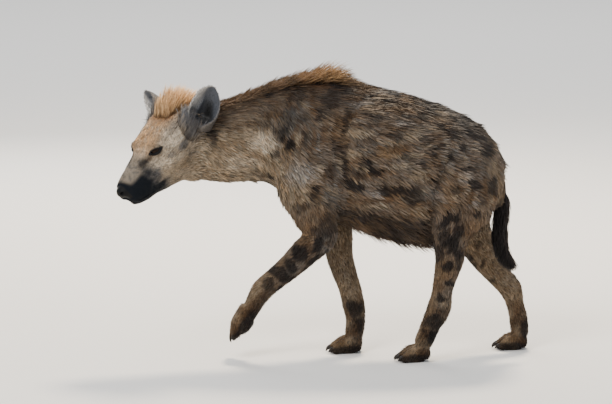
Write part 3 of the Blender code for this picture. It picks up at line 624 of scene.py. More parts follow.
def read_table(table, at):
    """A value for each point from a table with one row of station values for each kind of mass."""
    total = 0
    for name, (share, along, _) in at.items():
        row = table["leg" if name in LEGS else name]
        total = total + share * np.interp(along, np.arange(len(row)), row)
    return total


def mesh_points(mesh):
    """A mesh's points and their normals, as rows of numbers."""
    points = np.empty(len(mesh.vertices) * 3)
    mesh.vertices.foreach_get("co", points)
    normals = np.empty(len(mesh.vertices) * 3)
    mesh.vertex_normals.foreach_get("vector", normals)
    return points.reshape(-1, 3), normals.reshape(-1, 3)


def eye_frame(side):
    """An eye's middle, the way it looks, the way of its slit and the way up across it."""
    place = Vector((EYE_PLACE.x, EYE_PLACE.y * side, EYE_PLACE.z))
    way = Vector((EYE_WAY.x, EYE_WAY.y * side, EYE_WAY.z))
    along = Vector((EYE_SLIT.x, EYE_SLIT.y * side, EYE_SLIT.z))
    along = (along - way * along.dot(way)).normalized()
    above = way.cross(along)
    return place, way, along, above if above.z > 0 else -above


def round_eye(head):
    """How far points of the head's frame are from an eye: 1 on the edge of its black rim."""
    place, way, along, above = (np.array(part) for part in eye_frame(1))
    off = np.column_stack([head[:, 0], np.abs(head[:, 1]), head[:, 2]]) - place
    depth = np.maximum(np.abs(off @ way) - 0.020, 0)
    return ((off @ along) / RIM_LENGTH) ** 2 + np.abs(off @ above + 0.001) / RIM_HEIGHT + (depth / 0.01) ** 2


def lens(name, side):
    """An almond-shaped block through the lids: two arcs meeting at the corners of the eye."""
    place, way, along, above = eye_frame(side)
    ring = []
    for i in range(28):
        a = 2 * math.pi * i / 28
        rise = math.sin(a)
        share = 0.58 if rise > 0 else 0.42
        lid = math.copysign(EYE_HEIGHT * share * abs(rise) ** 1.25, rise)
        ring.append(along * (EYE_LENGTH / 2 * math.cos(a)) + above * lid)
    rings = [[tuple(place + way * d + p * k) for p in ring] for d, k in ((0.006, 0.86), (0.035, 1.12))]
    return mesh_object(name, [placed_on_head(skinned(rings))])


def mouth_slit():
    """A thin curved blade along the closed lips, from one corner of the mouth to the other."""
    rings = []
    for i in range(33):
        a = math.pi * (i / 32 - 0.5)
        bend, turn = math.cos(a), math.sin(a)
        line = Vector((
            MOUTH_CORNER[0] + MOUTH_GAIN[0] * bend**0.75,
            MOUTH_HALF_WIDTH * turn,
            MOUTH_CORNER[1] + MOUTH_GAIN[1] * bend**0.8,
        ))
        out = Vector((bend * MOUTH_HALF_WIDTH, turn * MOUTH_GAIN[0], 0)).normalized()
        near = line - out * 0.010
        far = line + out * 0.018
        rings.append([
            (near.x, near.y, near.z - 0.0004),
            (far.x, far.y, far.z - 0.0018),
            (far.x, far.y, far.z + 0.0018),
            (near.x, near.y, near.z + 0.0004),
        ])
    return mesh_object("mouth slit", [placed_on_head(skinned(rings))])


def folded(points, normals):
    """How deep the folds are at each point, fading out where the skin faces up or down."""
    deep = np.zeros(len(points))
    for depth, width, line in FOLDS:
        for start, end in zip(line, line[1:]):
            start, span = np.array(start), np.array(end) - np.array(start)
            off = points[:, (0, 2)] - start
            share = np.clip(off @ span / (span @ span), 0, 1)
            gap = np.linalg.norm(off - share[:, None] * span, axis=1)
            deep = np.maximum(deep, depth * np.exp(-((gap / width) ** 2)))
    return deep * ramp(np.abs(normals[:, 1]), 0.35, 0.75)


def cleft(points):
    """1 along the lines between the toes of each paw, and 0 away from them."""
    deep = np.zeros(len(points))
    for name, (middle, _, length, spread) in PAWS.items():
        *_, way, side, above = toe_frames(name)[0]
        off = points - np.array(middle)
        along, across, up = (off @ np.array(axis) for axis in (way, side, above))
        share = np.clip((along + 0.022) / (length + 0.022), 0, 1)
        near = ramp(along, 0.000, 0.026) * (along < length + 0.02)
        near *= (np.abs(up) < 0.05) & (np.abs(across) < spread)
        for place in (-0.667, 0, 0.667):
            line = place * spread * 0.40 * (0.70 + 0.42 * share)
            deep = np.maximum(deep, near * np.exp(-(((across - line) / CLEFT_WIDTH) ** 2)))
    return deep


legs = [oval_tube(stations) for stations in LEGS.values()]
body = as_shape(fused(mesh_object("body", [trunk(), skull()] + legs), BODY_VOXEL, BODY_ROUNDS))
face = as_shape(fused(mesh_object("face", head_masses()), FACE_VOXEL, FACE_ROUNDS))
pieces = [body, face]
for name in PAWS:
    pieces += toes(name)
skin = fused(mesh_object("skin", pieces), SKIN_VOXEL, SKIN_ROUNDS)
points, _ = mesh_points(skin.data)
behind_toes = np.zeros(len(points))
for name, (middle, *_) in PAWS.items():
    ahead, above = on_paw(name, points)
    near = np.linalg.norm(points - np.array(middle), axis=1) < 0.09
    gap = np.hypot(ahead + 0.008, above - 0.030)
    behind_toes = np.maximum(behind_toes, near * ramp(gap, 0.040, 0.020))
soft = skin.vertex_groups.new(name="behind the toes")
for i in np.nonzero(behind_toes)[0]:
    soft.add([int(i)], float(behind_toes[i]), "REPLACE")
smooth = skin.modifiers.new("soften the paws", "SMOOTH")
smooth.factor = 0.5
smooth.iterations = PAW_SOFTENING
smooth.vertex_group = soft.name
settle(skin)
points, normals = mesh_points(skin.data)
depth = read_table(COAT_DEPTH, masses_at(points)) + CLEFT_DEPTH * cleft(points) + folded(points, normals)
points -= normals * depth[:, None]
points[:, 2] = np.maximum(points[:, 2], SOLE_GAP)
skin.data.vertices.foreach_set("co", points.ravel())
skin.data.update()
bulbs, openings = [], []
for side in (1, -1):
    place = Vector((EYE_PLACE.x, EYE_PLACE.y * side, EYE_PLACE.z))
    outer = EYE_RADIUS + LID
    inner = EYE_RADIUS + SOCKET_GAP
    bulbs.append(mesh_object("lids", [placed_on_head(ball(place, (outer,) * 3, None, 18, 28))]))
    openings.append(mesh_object("socket", [placed_on_head(ball(place, (inner,) * 3, None, 18, 28))]))
    openings.append(lens("opening", side))
    nostril = Vector((NOSTRIL_PLACE.x, NOSTRIL_PLACE.y * side, NOSTRIL_PLACE.z))
    openings.append(mesh_object("nostril", [placed_on_head(ball(nostril, NOSTRIL_AXES, None, 10, 16))]))
combined(skin, bulbs, "UNION")
combined(skin, openings + [mouth_slit()], "DIFFERENCE")


# Markings
# The coat is grey-buff with irregular dark brown spots, a dark muzzle, rusty nape and crown and a
# black-brown belly fringe. Skin and hair take their colour from this one function of place, which
# also paints shade between the toes, behind the shoulder, in the armpit, around the eyes and behind
# the ears, and pale highlights of sky light on the flank.
BUFF = (0.27, 0.205, 0.135)
CREAM = (0.52, 0.43, 0.325)
TAN = (0.145, 0.092, 0.052)
FAWN = (0.19, 0.125, 0.070)
HONEY = (0.56, 0.335, 0.165)
# A pale bluish grey for painted highlights of sky light on the coat.
SKY_HIGHLIGHT = (0.30, 0.275, 0.25)
BROWN = (0.066, 0.038, 0.020)
GREY = (0.108, 0.092, 0.078)
SLATE = (0.060, 0.064, 0.072)
ASH = (0.200, 0.210, 0.235)
RUST = (0.185, 0.076, 0.024)
# Gold and straw tips of the mane and crown: partly the hair's own colour, partly painted backlight.
BACKLIT_GOLD = (0.68, 0.41, 0.185)
BACKLIT_STRAW = (0.98, 0.62, 0.30)
UMBER = (0.024, 0.014, 0.009)
SOOT = (0.010, 0.008, 0.008)
INK = (0.005, 0.0065, 0.009)
# Dark marks seen on the near side, most of them spots and a few painted shade: x, height, half length, half
# height, turn in degrees, strength.
MARKS = (
    (-0.099, 0.603, 0.014, 0.020, -25, 1.0),
    (-0.123, 0.644, 0.012, 0.026, 10, 0.8),
    (-0.104, 0.684, 0.023, 0.026, 0, 0.55),
    (-0.145, 0.586, 0.009, 0.029, 10, 0.5),
    (0.122, 0.545, 0.020, 0.014, 20, 1.0),
    (0.148, 0.531, 0.020, 0.009, 25, 0.9),
    (0.096, 0.525, 0.012, 0.012, 0, 0.5),
    # Painted shade in the armpit behind the elbow.
    (0.081, 0.493, 0.035, 0.014, 15, 0.95),
    # Painted shade along the crease behind the shoulder.
    (0.052, 0.548, 0.009, 0.052, 0, 0.7),
    (0.191, 0.476, 0.052, 0.014, 5, 0.85),
    (0.249, 0.461, 0.029, 0.023, 0, 0.8),
    (0.122, 0.406, 0.052, 0.012, 12, 0.7),
    (0.203, 0.377, 0.081, 0.023, 8, 0.6),
    (0.278, 0.357, 0.017, 0.029, 0, 0.9),
    (0.357, 0.389, 0.035, 0.017, -20, 0.95),
    (0.380, 0.357, 0.017, 0.026, 20, 0.85),
    (0.357, 0.322, 0.023, 0.026, 20, 1.0),
    (0.380, 0.296, 0.020, 0.017, 0, 0.9),
    (0.322, 0.296, 0.016, 0.030, 10, 0.7),
    (0.334, 0.348, 0.016, 0.018, 0, 0.7),
    (0.432, 0.406, 0.012, 0.012, 0, 0.9),
    (0.423, 0.490, 0.014, 0.014, 0, 0.8),
    (0.473, 0.484, 0.012, 0.035, 10, 0.75),
    (0.461, 0.592, 0.020, 0.029, 20, 0.8),
    (0.435, 0.626, 0.017, 0.014, 0, 0.8),
    (0.389, 0.592, 0.012, 0.012, 0, 0.8),
    (0.360, 0.635, 0.020, 0.017, 0, 0.75),
    (0.328, 0.655, 0.014, 0.014, 0, 0.75),
    (0.304, 0.574, 0.014, 0.012, 0, 0.8),
    (0.351, 0.568, 0.014, 0.014, 0, 0.75),
    (0.278, 0.545, 0.012, 0.012, 0, 0.6),
    (0.325, 0.603, 0.014, 0.012, 0, 0.5),
    (0.409, 0.534, 0.014, 0.012, 0, 0.6),
    (0.368, 0.476, 0.014, 0.014, 0, 0.6),
    (0.322, 0.487, 0.014, 0.014, 0, 0.6),
    (0.444, 0.447, 0.014, 0.014, 0, 0.6),
    (0.101, 0.786, 0.035, 0.012, 12, 0.7),
    (0.290, 0.728, 0.058, 0.012, 18, 0.6),
    (0.180, 0.725, 0.020, 0.009, 15, 0.7),
    (0.232, 0.684, 0.026, 0.009, 20, 0.55),
    (0.136, 0.684, 0.026, 0.009, 15, 0.5),
    (0.203, 0.626, 0.023, 0.012, 20, 0.5),
    (0.275, 0.615, 0.020, 0.012, 20, 0.5),
    (0.232, 0.563, 0.023, 0.012, 25, 0.45),
    (-0.020, 0.803, 0.035, 0.014, 0, 0.45),
    (0.026, 0.795, 0.029, 0.014, 0, 0.9),
    (0.014, 0.731, 0.023, 0.041, 15, 0.6),
    (-0.020, 0.684, 0.014, 0.023, 10, 0.7),
    (-0.052, 0.626, 0.014, 0.023, 10, 0.55),
    (0.029, 0.592, 0.012, 0.035, -5, 0.6),
    (-0.084, 0.742, 0.026, 0.017, 0, 0.5),
    (-0.064, 0.684, 0.017, 0.017, 0, 0.45),
    (-0.026, 0.478, 0.012, 0.017, 30, 0.85),
    (-0.041, 0.455, 0.012, 0.012, 0, 0.8),
    (-0.064, 0.429, 0.014, 0.012, 0, 0.45),
    (0.014, 0.528, 0.017, 0.017, 0, 0.45),
    (-0.006, 0.386, 0.026, 0.014, -10, 0.65),
    (0.020, 0.371, 0.014, 0.017, 0, 0.6),
    (-0.014, 0.351, 0.029, 0.017, -10, 0.65),
    (-0.020, 0.313, 0.017, 0.026, 20, 1.0),
    (-0.070, 0.296, 0.026, 0.023, 0, 1.0),
    (-0.101, 0.261, 0.023, 0.020, 40, 0.9),
    (-0.133, 0.235, 0.035, 0.020, 40, 0.9),
    (-0.165, 0.206, 0.017, 0.017, 0, 0.8),
    (-0.072, 0.426, 0.012, 0.014, 0, 0.4),
    (0.348, 0.252, 0.014, 0.017, 0, 1.0),
    (0.357, 0.209, 0.017, 0.009, 0, 0.95),
    (0.333, 0.168, 0.020, 0.012, 0, 0.9),
    (0.310, 0.101, 0.026, 0.023, 0, 0.8),
    (0.304, 0.058, 0.017, 0.023, 0, 0.85),
    (0.377, 0.267, 0.012, 0.017, 0, 0.6),
    (0.420, 0.278, 0.014, 0.012, 0, 0.9),
    (0.458, 0.261, 0.009, 0.009, 0, 0.7),
    (0.490, 0.212, 0.012, 0.009, 0, 0.7),
    (0.580, 0.075, 0.014, 0.026, 0, 0.8),
    (0.444, 0.319, 0.012, 0.012, 0, 0.5),
    (0.090, 0.133, 0.023, 0.026, 0, 0.8),
    (0.101, 0.084, 0.014, 0.023, 0, 0.7),
    (-0.328, 0.632, 0.014, 0.026, 35, 0.9),
    (-0.258, 0.655, 0.014, 0.009, 0, 0.5),
    (-0.183, 0.664, 0.035, 0.009, 5, 0.5),
    # These two are painted shade along the crease behind the shoulder, higher up.
    (0.052, 0.665, 0.010, 0.050, 5, 0.55),
    (0.062, 0.770, 0.012, 0.024, 10, 0.60),
)
# Soft patches seen on the near side of trunk and neck, some darker than the coat and some paler; the
# pale bluish grey ones are painted highlights of sky light on the long hair: x, height, half length,
# half height, colour, strength.
SIDE_PATCHES = (
    (0.171, 0.758, 0.036, 0.012, SKY_HIGHLIGHT, 0.75),
    (0.094, 0.719, 0.036, 0.013, SKY_HIGHLIGHT, 0.50),
    (0.216, 0.668, 0.032, 0.009, SKY_HIGHLIGHT, 0.45),
    (0.364, 0.700, 0.022, 0.017, SKY_HIGHLIGHT, 0.50),
    (0.100, 0.636, 0.040, 0.016, BUFF, 0.60),
    (-0.066, 0.520, 0.046, 0.040, SKY_HIGHLIGHT, 0.55),
    (-0.092, 0.690, 0.014, 0.030, SKY_HIGHLIGHT, 0.40),
    (0.177, 0.585, 0.032, 0.018, FAWN, 0.60),
    (0.267, 0.520, 0.030, 0.020, BUFF, 0.50),
    (0.319, 0.456, 0.022, 0.024, SKY_HIGHLIGHT, 0.35),
    (0.267, 0.418, 0.022, 0.018, BUFF, 0.50),
    (0.420, 0.432, 0.022, 0.014, SKY_HIGHLIGHT, 0.35),
    (0.478, 0.533, 0.018, 0.030, BUFF, 0.55),
    (0.396, 0.508, 0.018, 0.018, SKY_HIGHLIGHT, 0.30),
    (0.113, 0.436, 0.045, 0.007, BUFF, 0.55),
    (0.145, 0.470, 0.030, 0.008, SKY_HIGHLIGHT, 0.45),
    (-0.178, 0.615, 0.050, 0.030, CREAM, 0.75),
    (-0.240, 0.560, 0.060, 0.026, CREAM, 0.35),
    (-0.322, 0.628, 0.016, 0.036, SOOT, 0.85),
    (-0.300, 0.668, 0.022, 0.018, BROWN, 0.70),
    (-0.262, 0.648, 0.034, 0.010, BROWN, 0.60),
    (-0.215, 0.664, 0.040, 0.010, BROWN, 0.60),
    (-0.285, 0.600, 0.024, 0.012, TAN, 0.60),
    (-0.245, 0.612, 0.034, 0.008, TAN, 0.60),
    (-0.205, 0.575, 0.036, 0.010, TAN, 0.55),
    (-0.165, 0.690, 0.026, 0.012, BROWN, 0.60),
    (-0.140, 0.640, 0.012, 0.030, SOOT, 0.50),
)
# The same for both sides of the face, in the head's frame: forward, up, half length, half height,
# colour, strength.
FACE_PATCHES = (
    (0.046, 0.006, 0.026, 0.018, CREAM, 0.80),
    (0.118, -0.020, 0.034, 0.014, CREAM, 0.65),
    (0.088, -0.034, 0.030, 0.012, CREAM, 0.40),
    (0.040, -0.022, 0.026, 0.014, SLATE, 0.80),
    (0.088, -0.016, 0.014, 0.010, SLATE, 0.55),
    (0.066, -0.070, 0.028, 0.018, FAWN, 0.55),
    (0.030, -0.062, 0.024, 0.020, GREY, 0.55),
    (0.100, 0.040, 0.034, 0.010, FAWN, 0.65),
    (0.074, 0.030, 0.012, 0.008, SOOT, 0.35),
    (0.020, 0.028, 0.030, 0.012, GREY, 0.60),
    (0.146, -0.030, 0.016, 0.014, SLATE, 0.55),
    (0.120, -0.066, 0.034, 0.016, BUFF, 0.80),
)
SPOT_COUNT, SPOT_SEED, SPOT_GAP = 420, 5, 0.036
RIPPLE_WAVES = 14
# How steeply the hair turns down, at each station of the trunk.
HAIR_FALL = (
    0.2, 0.3, 0.5, 0.6, 0.8, 0.9, 0.95, 0.85, 0.6, 0.40, 0.25, 0.22, 0.30, 0.5, 0.9, 1.4, 2.2, 3.0,
)


def ripple(points, size, seed):
    """A smooth random field, about -1 to 1, whose swells lie about this far apart."""
    draw = np.random.default_rng(seed)
    total = np.zeros(len(points))
    for _ in range(RIPPLE_WAVES):
        way = draw.normal(size=3)
        way *= 2 * math.pi / (size * draw.uniform(0.7, 1.8)) / np.linalg.norm(way)
        total += np.cos(points @ way + draw.uniform(0, 2 * math.pi))
    return total / math.sqrt(RIPPLE_WAVES)


def blended(colour, other, share):
    """The first colour turned into the other by a share for each point."""
    return colour + (np.array(other, float) - colour) * np.clip(share, 0, 1)[:, None]


def spot_centres(points, normals):
    """Spots the picture doesn't show, strewn over trunk and upper legs: places, sizes, strengths."""
    draw = np.random.default_rng(SPOT_SEED)
    unseen = (normals[:, 1] > 0.1) | (normals[:, 2] > 0.75) | (normals[:, 2] < -0.6)
    ground = (points[:, 0] > -0.20) & (points[:, 2] > 0.16) & unseen
    chosen = points[ground][draw.permutation(int(ground.sum()))]
    kept = []
    for p in chosen:
        if all((p[0] - q[0]) ** 2 + (p[1] - q[1]) ** 2 + (p[2] - q[2]) ** 2 > SPOT_GAP**2 for q in kept):
            kept.append(p)
        if len(kept) == SPOT_COUNT:
            break
    kept = np.array(kept)
    return kept, draw.uniform(0.010, 0.019, len(kept)), draw.uniform(0.35, 0.95, len(kept))


def darkness(points, normals, lie):
    """How dark the spots make each point: the marks of the near side, and the strewn ones."""
    dark = np.zeros(len(points))
    warp = 0.006 * np.array([ripple(points, 0.035, 31), ripple(points, 0.035, 32)])
    high = points[:, 2] * math.cos(CAMERA_RISE) + points[:, 1] * math.sin(CAMERA_RISE)
    seen = ramp(normals[:, 1], 0.35, 0.05)
    for x, height, length, tall, turn, strength in MARKS:
        across, up = points[:, 0] + warp[0] - x, high + warp[1] - height
        turn = math.radians(turn)
        first = (across * math.cos(turn) - up * math.sin(turn)) / length
        second = (across * math.sin(turn) + up * math.cos(turn)) / tall
        far = np.sqrt(first**2 + second**2)
        dark = np.maximum(dark, strength * seen * ramp(far, 1.30, 0.70))
    for centre, size, strength in zip(*SPOTS):
        away = points - centre
        long = (away * lie).sum(axis=1)
        far = np.sqrt(np.maximum((away**2).sum(axis=1) - 0.55 * long**2, 0)) + warp[0] * 0.7
        dark = np.maximum(dark, strength * ramp(far, size * 1.25, size * 0.7))
    return dark


def hair_lie(normals, at):
    """The way the hair points: back along the trunk, down the shoulder, thigh and legs."""
    way = sum(share[:, None] * way for share, _, way in at.values())
    share, along, _ = at["trunk"]
    flank = 1 - ramp(np.abs(normals[:, 2]), 0.55, 0.95)
    down = np.interp(along, np.arange(len(TRUNK)), HAIR_FALL)
    way = way - np.outer(share * flank * down, (0, 0, 1))
    way -= normals * (way * normals).sum(axis=1)[:, None]
    return way / (np.linalg.norm(way, axis=1)[:, None] + 1e-9)


def read_column(rows, column, x):
    """A column of the rows, read for each x, which stands in their first column."""
    return np.interp(x, [row[0] for row in rows], [row[column] for row in rows])


def coat_colour(points, normals, at):
    """The hair's own colour at each point of the skin."""
    head = in_head(points)
    forward, side, up = head[:, 0], np.abs(head[:, 1]), head[:, 2]
    x, z = points[:, 0], points[:, 2]
    high = z * math.cos(CAMERA_RISE) + points[:, 1] * math.sin(CAMERA_RISE)
    stretched = points * np.array((0.30, 1, 1))
    hanging = points * np.array((1, 1, 0.35))
    lying = ramp(x, 0.36, 0.28) * ramp(x, 0.02, 0.08)
    streak = ripple(stretched, 0.028, 41) * lying + ripple(hanging, 0.024, 42) * (1 - lying)
    broad = ripple(points, 0.11, 43)
    fine = ripple(stretched, 0.014, 46)
    top, low = read_column(TRUNK, 2, x), read_column(TRUNK, 3, x)
    rise = (z - low) / (top - low)
    trunk_share = at["trunk"][0]
    head_share = at["head"][0]

    colour = np.tile(np.array(GREY), (len(points), 1))
    colour = blended(colour, TAN, 0.45 + 0.35 * broad + 0.25 * streak)
    colour = blended(colour, BROWN, 0.65 * ramp(streak + 0.5 * fine, 0.1, 1.3))
    colour = blended(colour, BUFF, 0.60 * ramp(streak + 0.4 * fine, -0.3, -1.5))
    neck = ramp(x, -0.10, -0.22)
    colour = blended(colour, BUFF, neck * ramp(rise, 0.86, 0.55) * (0.80 + 0.15 * streak))
    colour = blended(colour, TAN, neck * ramp(rise, 0.55, 0.90) * 0.45)
    chest = ramp(x, 0.0, -0.07) * ramp(x, -0.20, -0.15) * ramp(rise, 0.55, 0.25)
    colour = blended(colour, BUFF, chest * 0.50)
    crest = ramp(x, 0.24, 0.10) * ramp(rise, 0.72, 0.95) * trunk_share
    colour = blended(colour, BROWN, crest * 0.70)
    ridge = ramp(rise, 0.90, 0.985) * ramp(x, 0.08, -0.02)
    colour = blended(colour, RUST, crest * ridge * (0.60 - 0.25 * neck))
    belly = ramp(x, 0.02, 0.08) * ramp(x, 0.37, 0.30) * trunk_share
    colour = blended(colour, UMBER, belly * ramp(rise + 0.07 * streak, 0.24, 0.03) * 0.92)
    colour = blended(colour, TAN, belly * ramp(rise, 0.30, 0.10) * ramp(streak + 0.6 * fine, 0.0, 1.1) * 0.65)
    rump = ramp(x, 0.33, 0.45)
    colour = blended(colour, GREY, rump * 0.45 * ramp(rise, 0.3, 0.7))
    colour = blended(colour, BUFF, ramp(x, 0.470, 0.515) * ramp(rise, 0.75, 0.4) * 0.45)
    for mark_x, mark_high, long, tall, tone, much in SIDE_PATCHES:
        gap = np.hypot((x + 0.006 * fine - mark_x) / long, (high + 0.006 * streak - mark_high) / tall)
        colour = blended(colour, tone, ramp(gap, 1.35, 0.35) * much * ramp(normals[:, 1], 0.4, 0.0))
    for name, stations in LEGS.items():
        share, along, _ = at[name]
        middle = np.interp(along, np.arange(len(stations)), [row[0] for row in stations])
        axis_y = np.interp(along, np.arange(len(stations)), [row[1] for row in stations])
        outward = (points[:, 1] - axis_y) * (1 if stations[5][1] > 0 else -1)
        front = ramp(middle - x, -0.004, 0.024)
        patchy = ripple(points, 0.045, 47 + list(LEGS).index(name))
        shade = np.tile(np.array(TAN), (len(points), 1))
        shade = blended(shade, GREY, 0.40 + 0.4 * broad)
        shade = blended(shade, BROWN, 0.55 * ramp(patchy + 0.4 * fine, 0.0, 1.2))
        shade = blended(shade, FAWN, front * ramp(along, 4.5, 6.0) * 0.75)
        shade = blended(shade, BUFF, 0.55 * ramp(along, 6.0, 8.0) * ramp(patchy, 0.3, -0.9))
        shade = blended(shade, UMBER, (1 - front) * ramp(along, 7.0, 9.0) * 0.65)
        ahead, above = on_paw(name, points)
        low_down = ramp(above + 0.003 * patchy, 0.018, 0.004)
        foot = ramp(ahead, -0.050, -0.020)
        shade = blended(shade, BROWN, foot * (0.35 + 0.35 * patchy))
        shade = blended(shade, SOOT, foot * low_down * 0.88)
        shade = blended(shade, BUFF, ramp(outward, 0.006, -0.016) * ramp(along, 9.0, 6.5) * 0.42)
        colour = colour * (1 - share[:, None]) + shade * share[:, None]
    spotty = darkness(points, normals, hair_lie(normals, at))
    spotty *= 1 - 0.9 * head_share
    spotty *= 1 - 0.75 * ramp(x, -0.15, -0.22) * ramp(rise, 0.9, 0.7)
    colour = blended(colour, SOOT, (1 - (1 - spotty) ** 1.35) * 0.93)
    # Painted shade in the clefts between the toes.
    colour = blended(colour, SOOT, cleft(points) * 0.8)

    face = np.tile(np.array(BUFF), (len(points), 1))
    face = blended(face, CREAM, 0.18 + 0.55 * ramp(up, -0.020, 0.015) + 0.14 * ripple(points, 0.03, 44))
    for spot_forward, spot_up, long, tall, tone, much in FACE_PATCHES:
        gap = np.hypot((forward - spot_forward) / long, (up - spot_up) / tall)
        face = blended(face, tone, ramp(gap, 1.4, 0.4) * ramp(side, 0.018, 0.036) * much)
    brow = ramp(up, 0.006, 0.030) * ramp(forward, 0.17, 0.10) * ramp(side, 0.060, 0.024)
    face = blended(face, HONEY, brow * (0.70 + 0.25 * ripple(points, 0.014, 54)))
    crown = ramp(up, 0.016, 0.040) * ramp(forward, 0.045, 0.0) * ramp(side, 0.055, 0.030)
    face = blended(face, RUST, crown * 0.75)
    snout = ramp(forward, 0.130, 0.165) * ramp(up, -0.012, 0.010)
    face = blended(face, GREY, snout * 0.45)
    dusk = snout * ramp(ripple(points, 0.016, 50) + 0.5 * ripple(points, 0.007, 53), -0.2, 1.2)
    face = blended(face, SLATE, dusk * 0.50)
    smudge = np.hypot((forward - 0.158) / 0.022, (side - 0.030) / 0.014)
    face = blended(face, SOOT, ramp(smudge, 1.5, 0.4) * ramp(up, -0.030, -0.010) * 0.75)
    rough = 0.006 * ripple(points, 0.022, 45) + 0.004 * ripple(points, 0.010, 48)
    edge = 0.176 + rough - 0.0175 * ramp(up, -0.050, -0.085)
    bridge = ramp(up, -0.006, 0.008)
    face = blended(face, SLATE, ramp(forward, edge - 0.060, edge - 0.004) * ramp(up, 0.010, -0.010) * 0.80)
    inky = ramp(forward, edge - 0.046, edge + 0.016)
    face = blended(face, INK, inky * (1 - 0.72 * bridge * ramp(forward, 0.236, 0.222)))
    lips = np.hypot((forward - 0.172) / 0.034, (up + 0.071) / 0.012)
    face = blended(face, INK, ramp(lips, 1.25, 0.7))
    tear = np.hypot((forward - 0.138) / 0.030, (side - 0.034 + 0.25 * (forward - 0.138)) / 0.0085)
    face = blended(face, SOOT, ramp(tear, 1.3, 0.5) * ramp(up, 0.022, 0.012) * ramp(up, -0.016, -0.004) * 0.9)
    # Painted shade around the eye socket, under the brow.
    around = np.hypot((forward - EYE_PLACE.x - 0.008) / 0.032, (up - EYE_PLACE.z - 0.002) / 0.021)
    face = blended(face, TAN, ramp(around, 1.25, 0.45) * ramp(side, 0.016, 0.030) * 0.48)
    face = blended(face, INK, ramp(round_eye(head), 1.22, 0.94) * 0.98)
    ear_gap = np.hypot(forward + 0.020, up + 0.016)
    shadow = ramp(ear_gap, 0.052, 0.034) * ramp(side, 0.042, 0.054)
    face = blended(face, SLATE, shadow * 0.85)
    face = blended(face, INK, shadow * ramp(ripple(points, 0.012, 49), 0.1, 0.9) * 0.75)
    nape = ramp(forward, -0.03, -0.07)
    face = blended(face, BUFF, nape * ramp(up, -0.02, -0.06) * 0.8)
    colour = colour * (1 - head_share[:, None]) + face * head_share[:, None]
    return np.clip(colour, 0, 1)


def stored(mesh, name, values):
    """A colour for each vertex, kept on the mesh for the material to read."""
    layer = mesh.color_attributes.new(name, "FLOAT_COLOR", "POINT")
    layer.data.foreach_set("color", np.column_stack([values, np.ones(len(values))]).ravel())


def kept_colour(tree):
    """The output with the colours that stored keeps on the mesh."""
    tint = wired(tree, "ShaderNodeAttribute")
    tint.attribute_name = "coat"
    return tint.outputs["Color"]


def grained(tree, shader, colour, scale, detail, low, high):
    """The base colour, made darker and lighter between low and high by a fine grain, which it gives."""
    spot = wired(tree, "ShaderNodeTexCoord")
    noise = {"Scale": scale, "Detail": detail}
    grain = wired(tree, "ShaderNodeTexNoise", noise, Vector=spot.outputs["Object"])
    level = wired(tree, "ShaderNodeMapRange", {"To Min": low, "To Max": high}, Value=grain.outputs["Fac"])
    mixed = tree.nodes.new("ShaderNodeVectorMath")
    mixed.operation = "SCALE"
    tree.links.new(colour, mixed.inputs[0])
    tree.links.new(level.outputs["Result"], mixed.inputs["Scale"])
    tree.links.new(mixed.outputs["Vector"], shader.inputs["Base Color"])
    return grain.outputs["Fac"]


def bumped(tree, shader, height, strength, distance):
    """Fine relief on a material, from an output that says how high each place is."""
    bump = wired(tree, "ShaderNodeBump", {"Strength": strength, "Distance": distance}, Height=height)
    tree.links.new(bump.outputs["Normal"], shader.inputs["Normal"])


points, normals = mesh_points(skin.data)
SPOTS = spot_centres(points, normals)
at = masses_at(points)
hide_colour = coat_colour(points, normals, at)
# The skin is painted darker than the coat where long hair hides it, as painted shade between the hairs.
UNDER_COAT_SHADE = 0.35
under_coat_shade = ramp(at["trunk"][0], 0.2, 0.7)
stored(skin.data, "coat", hide_colour * (1 - UNDER_COAT_SHADE * under_coat_shade[:, None]))
hide, tree, shader = principled("short coat and skin", 0.80)
grain = grained(tree, shader, kept_colour(tree), scale=420.0, detail=3.0, low=0.72, high=1.28)
bumped(tree, shader, grain, strength=0.45, distance=0.0012)
shader.inputs["Specular IOR Level"].default_value = 0.06
skin.data.materials.clear()
skin.data.materials.append(hide)

leather, tree, shader = principled("nose leather", 0.52)
shader.inputs["Specular IOR Level"].default_value = 0.11
spot = wired(tree, "ShaderNodeTexCoord")
cells = wired(tree, "ShaderNodeTexVoronoi", {"Scale": 520.0}, Vector=spot.outputs["Object"])
shine = {"To Min": 0.0026, "To Max": 0.0070}
level = wired(tree, "ShaderNodeMapRange", shine, Value=cells.outputs["Distance"])
tree.links.new(level.outputs["Result"], shader.inputs["Base Color"])
bumped(tree, shader, cells.outputs["Distance"], strength=0.6, distance=0.0008)
skin.data.materials.append(leather)
centres = np.array([p.center for p in skin.data.polygons])
in_front = in_head(centres)
wet = (in_front[:, 0] > 0.2395 + 0.25 * np.abs(in_front[:, 1])) & (in_front[:, 2] > -0.030)
wet &= np.linalg.norm(in_front, axis=1) < 0.35
skin.data.polygons.foreach_set("material_index", wet.astype(np.int32))
skin.data.shade_smooth()
skin.data.set_sharp_from_angle(angle=math.radians(50))
skin.location = SHIFT
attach(skin, "root")
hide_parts("head", "neck", "torso", "foreleg_left", "foreleg_right", "hindleg_left",
            "hindleg_right", "forepaw_left", "forepaw_right", "hindpaw_left", "hindpaw_right")


# Eyes
# Dark brown eyes with a round pupil, set deep between black-rimmed lids. Each is one smooth, wet
# ball with its clear front swelling a little towards the slit.
IRIS = (0.010, 0.0045, 0.0022, 1)
IRIS_RIM = (0.012, 0.008, 0.006, 1)
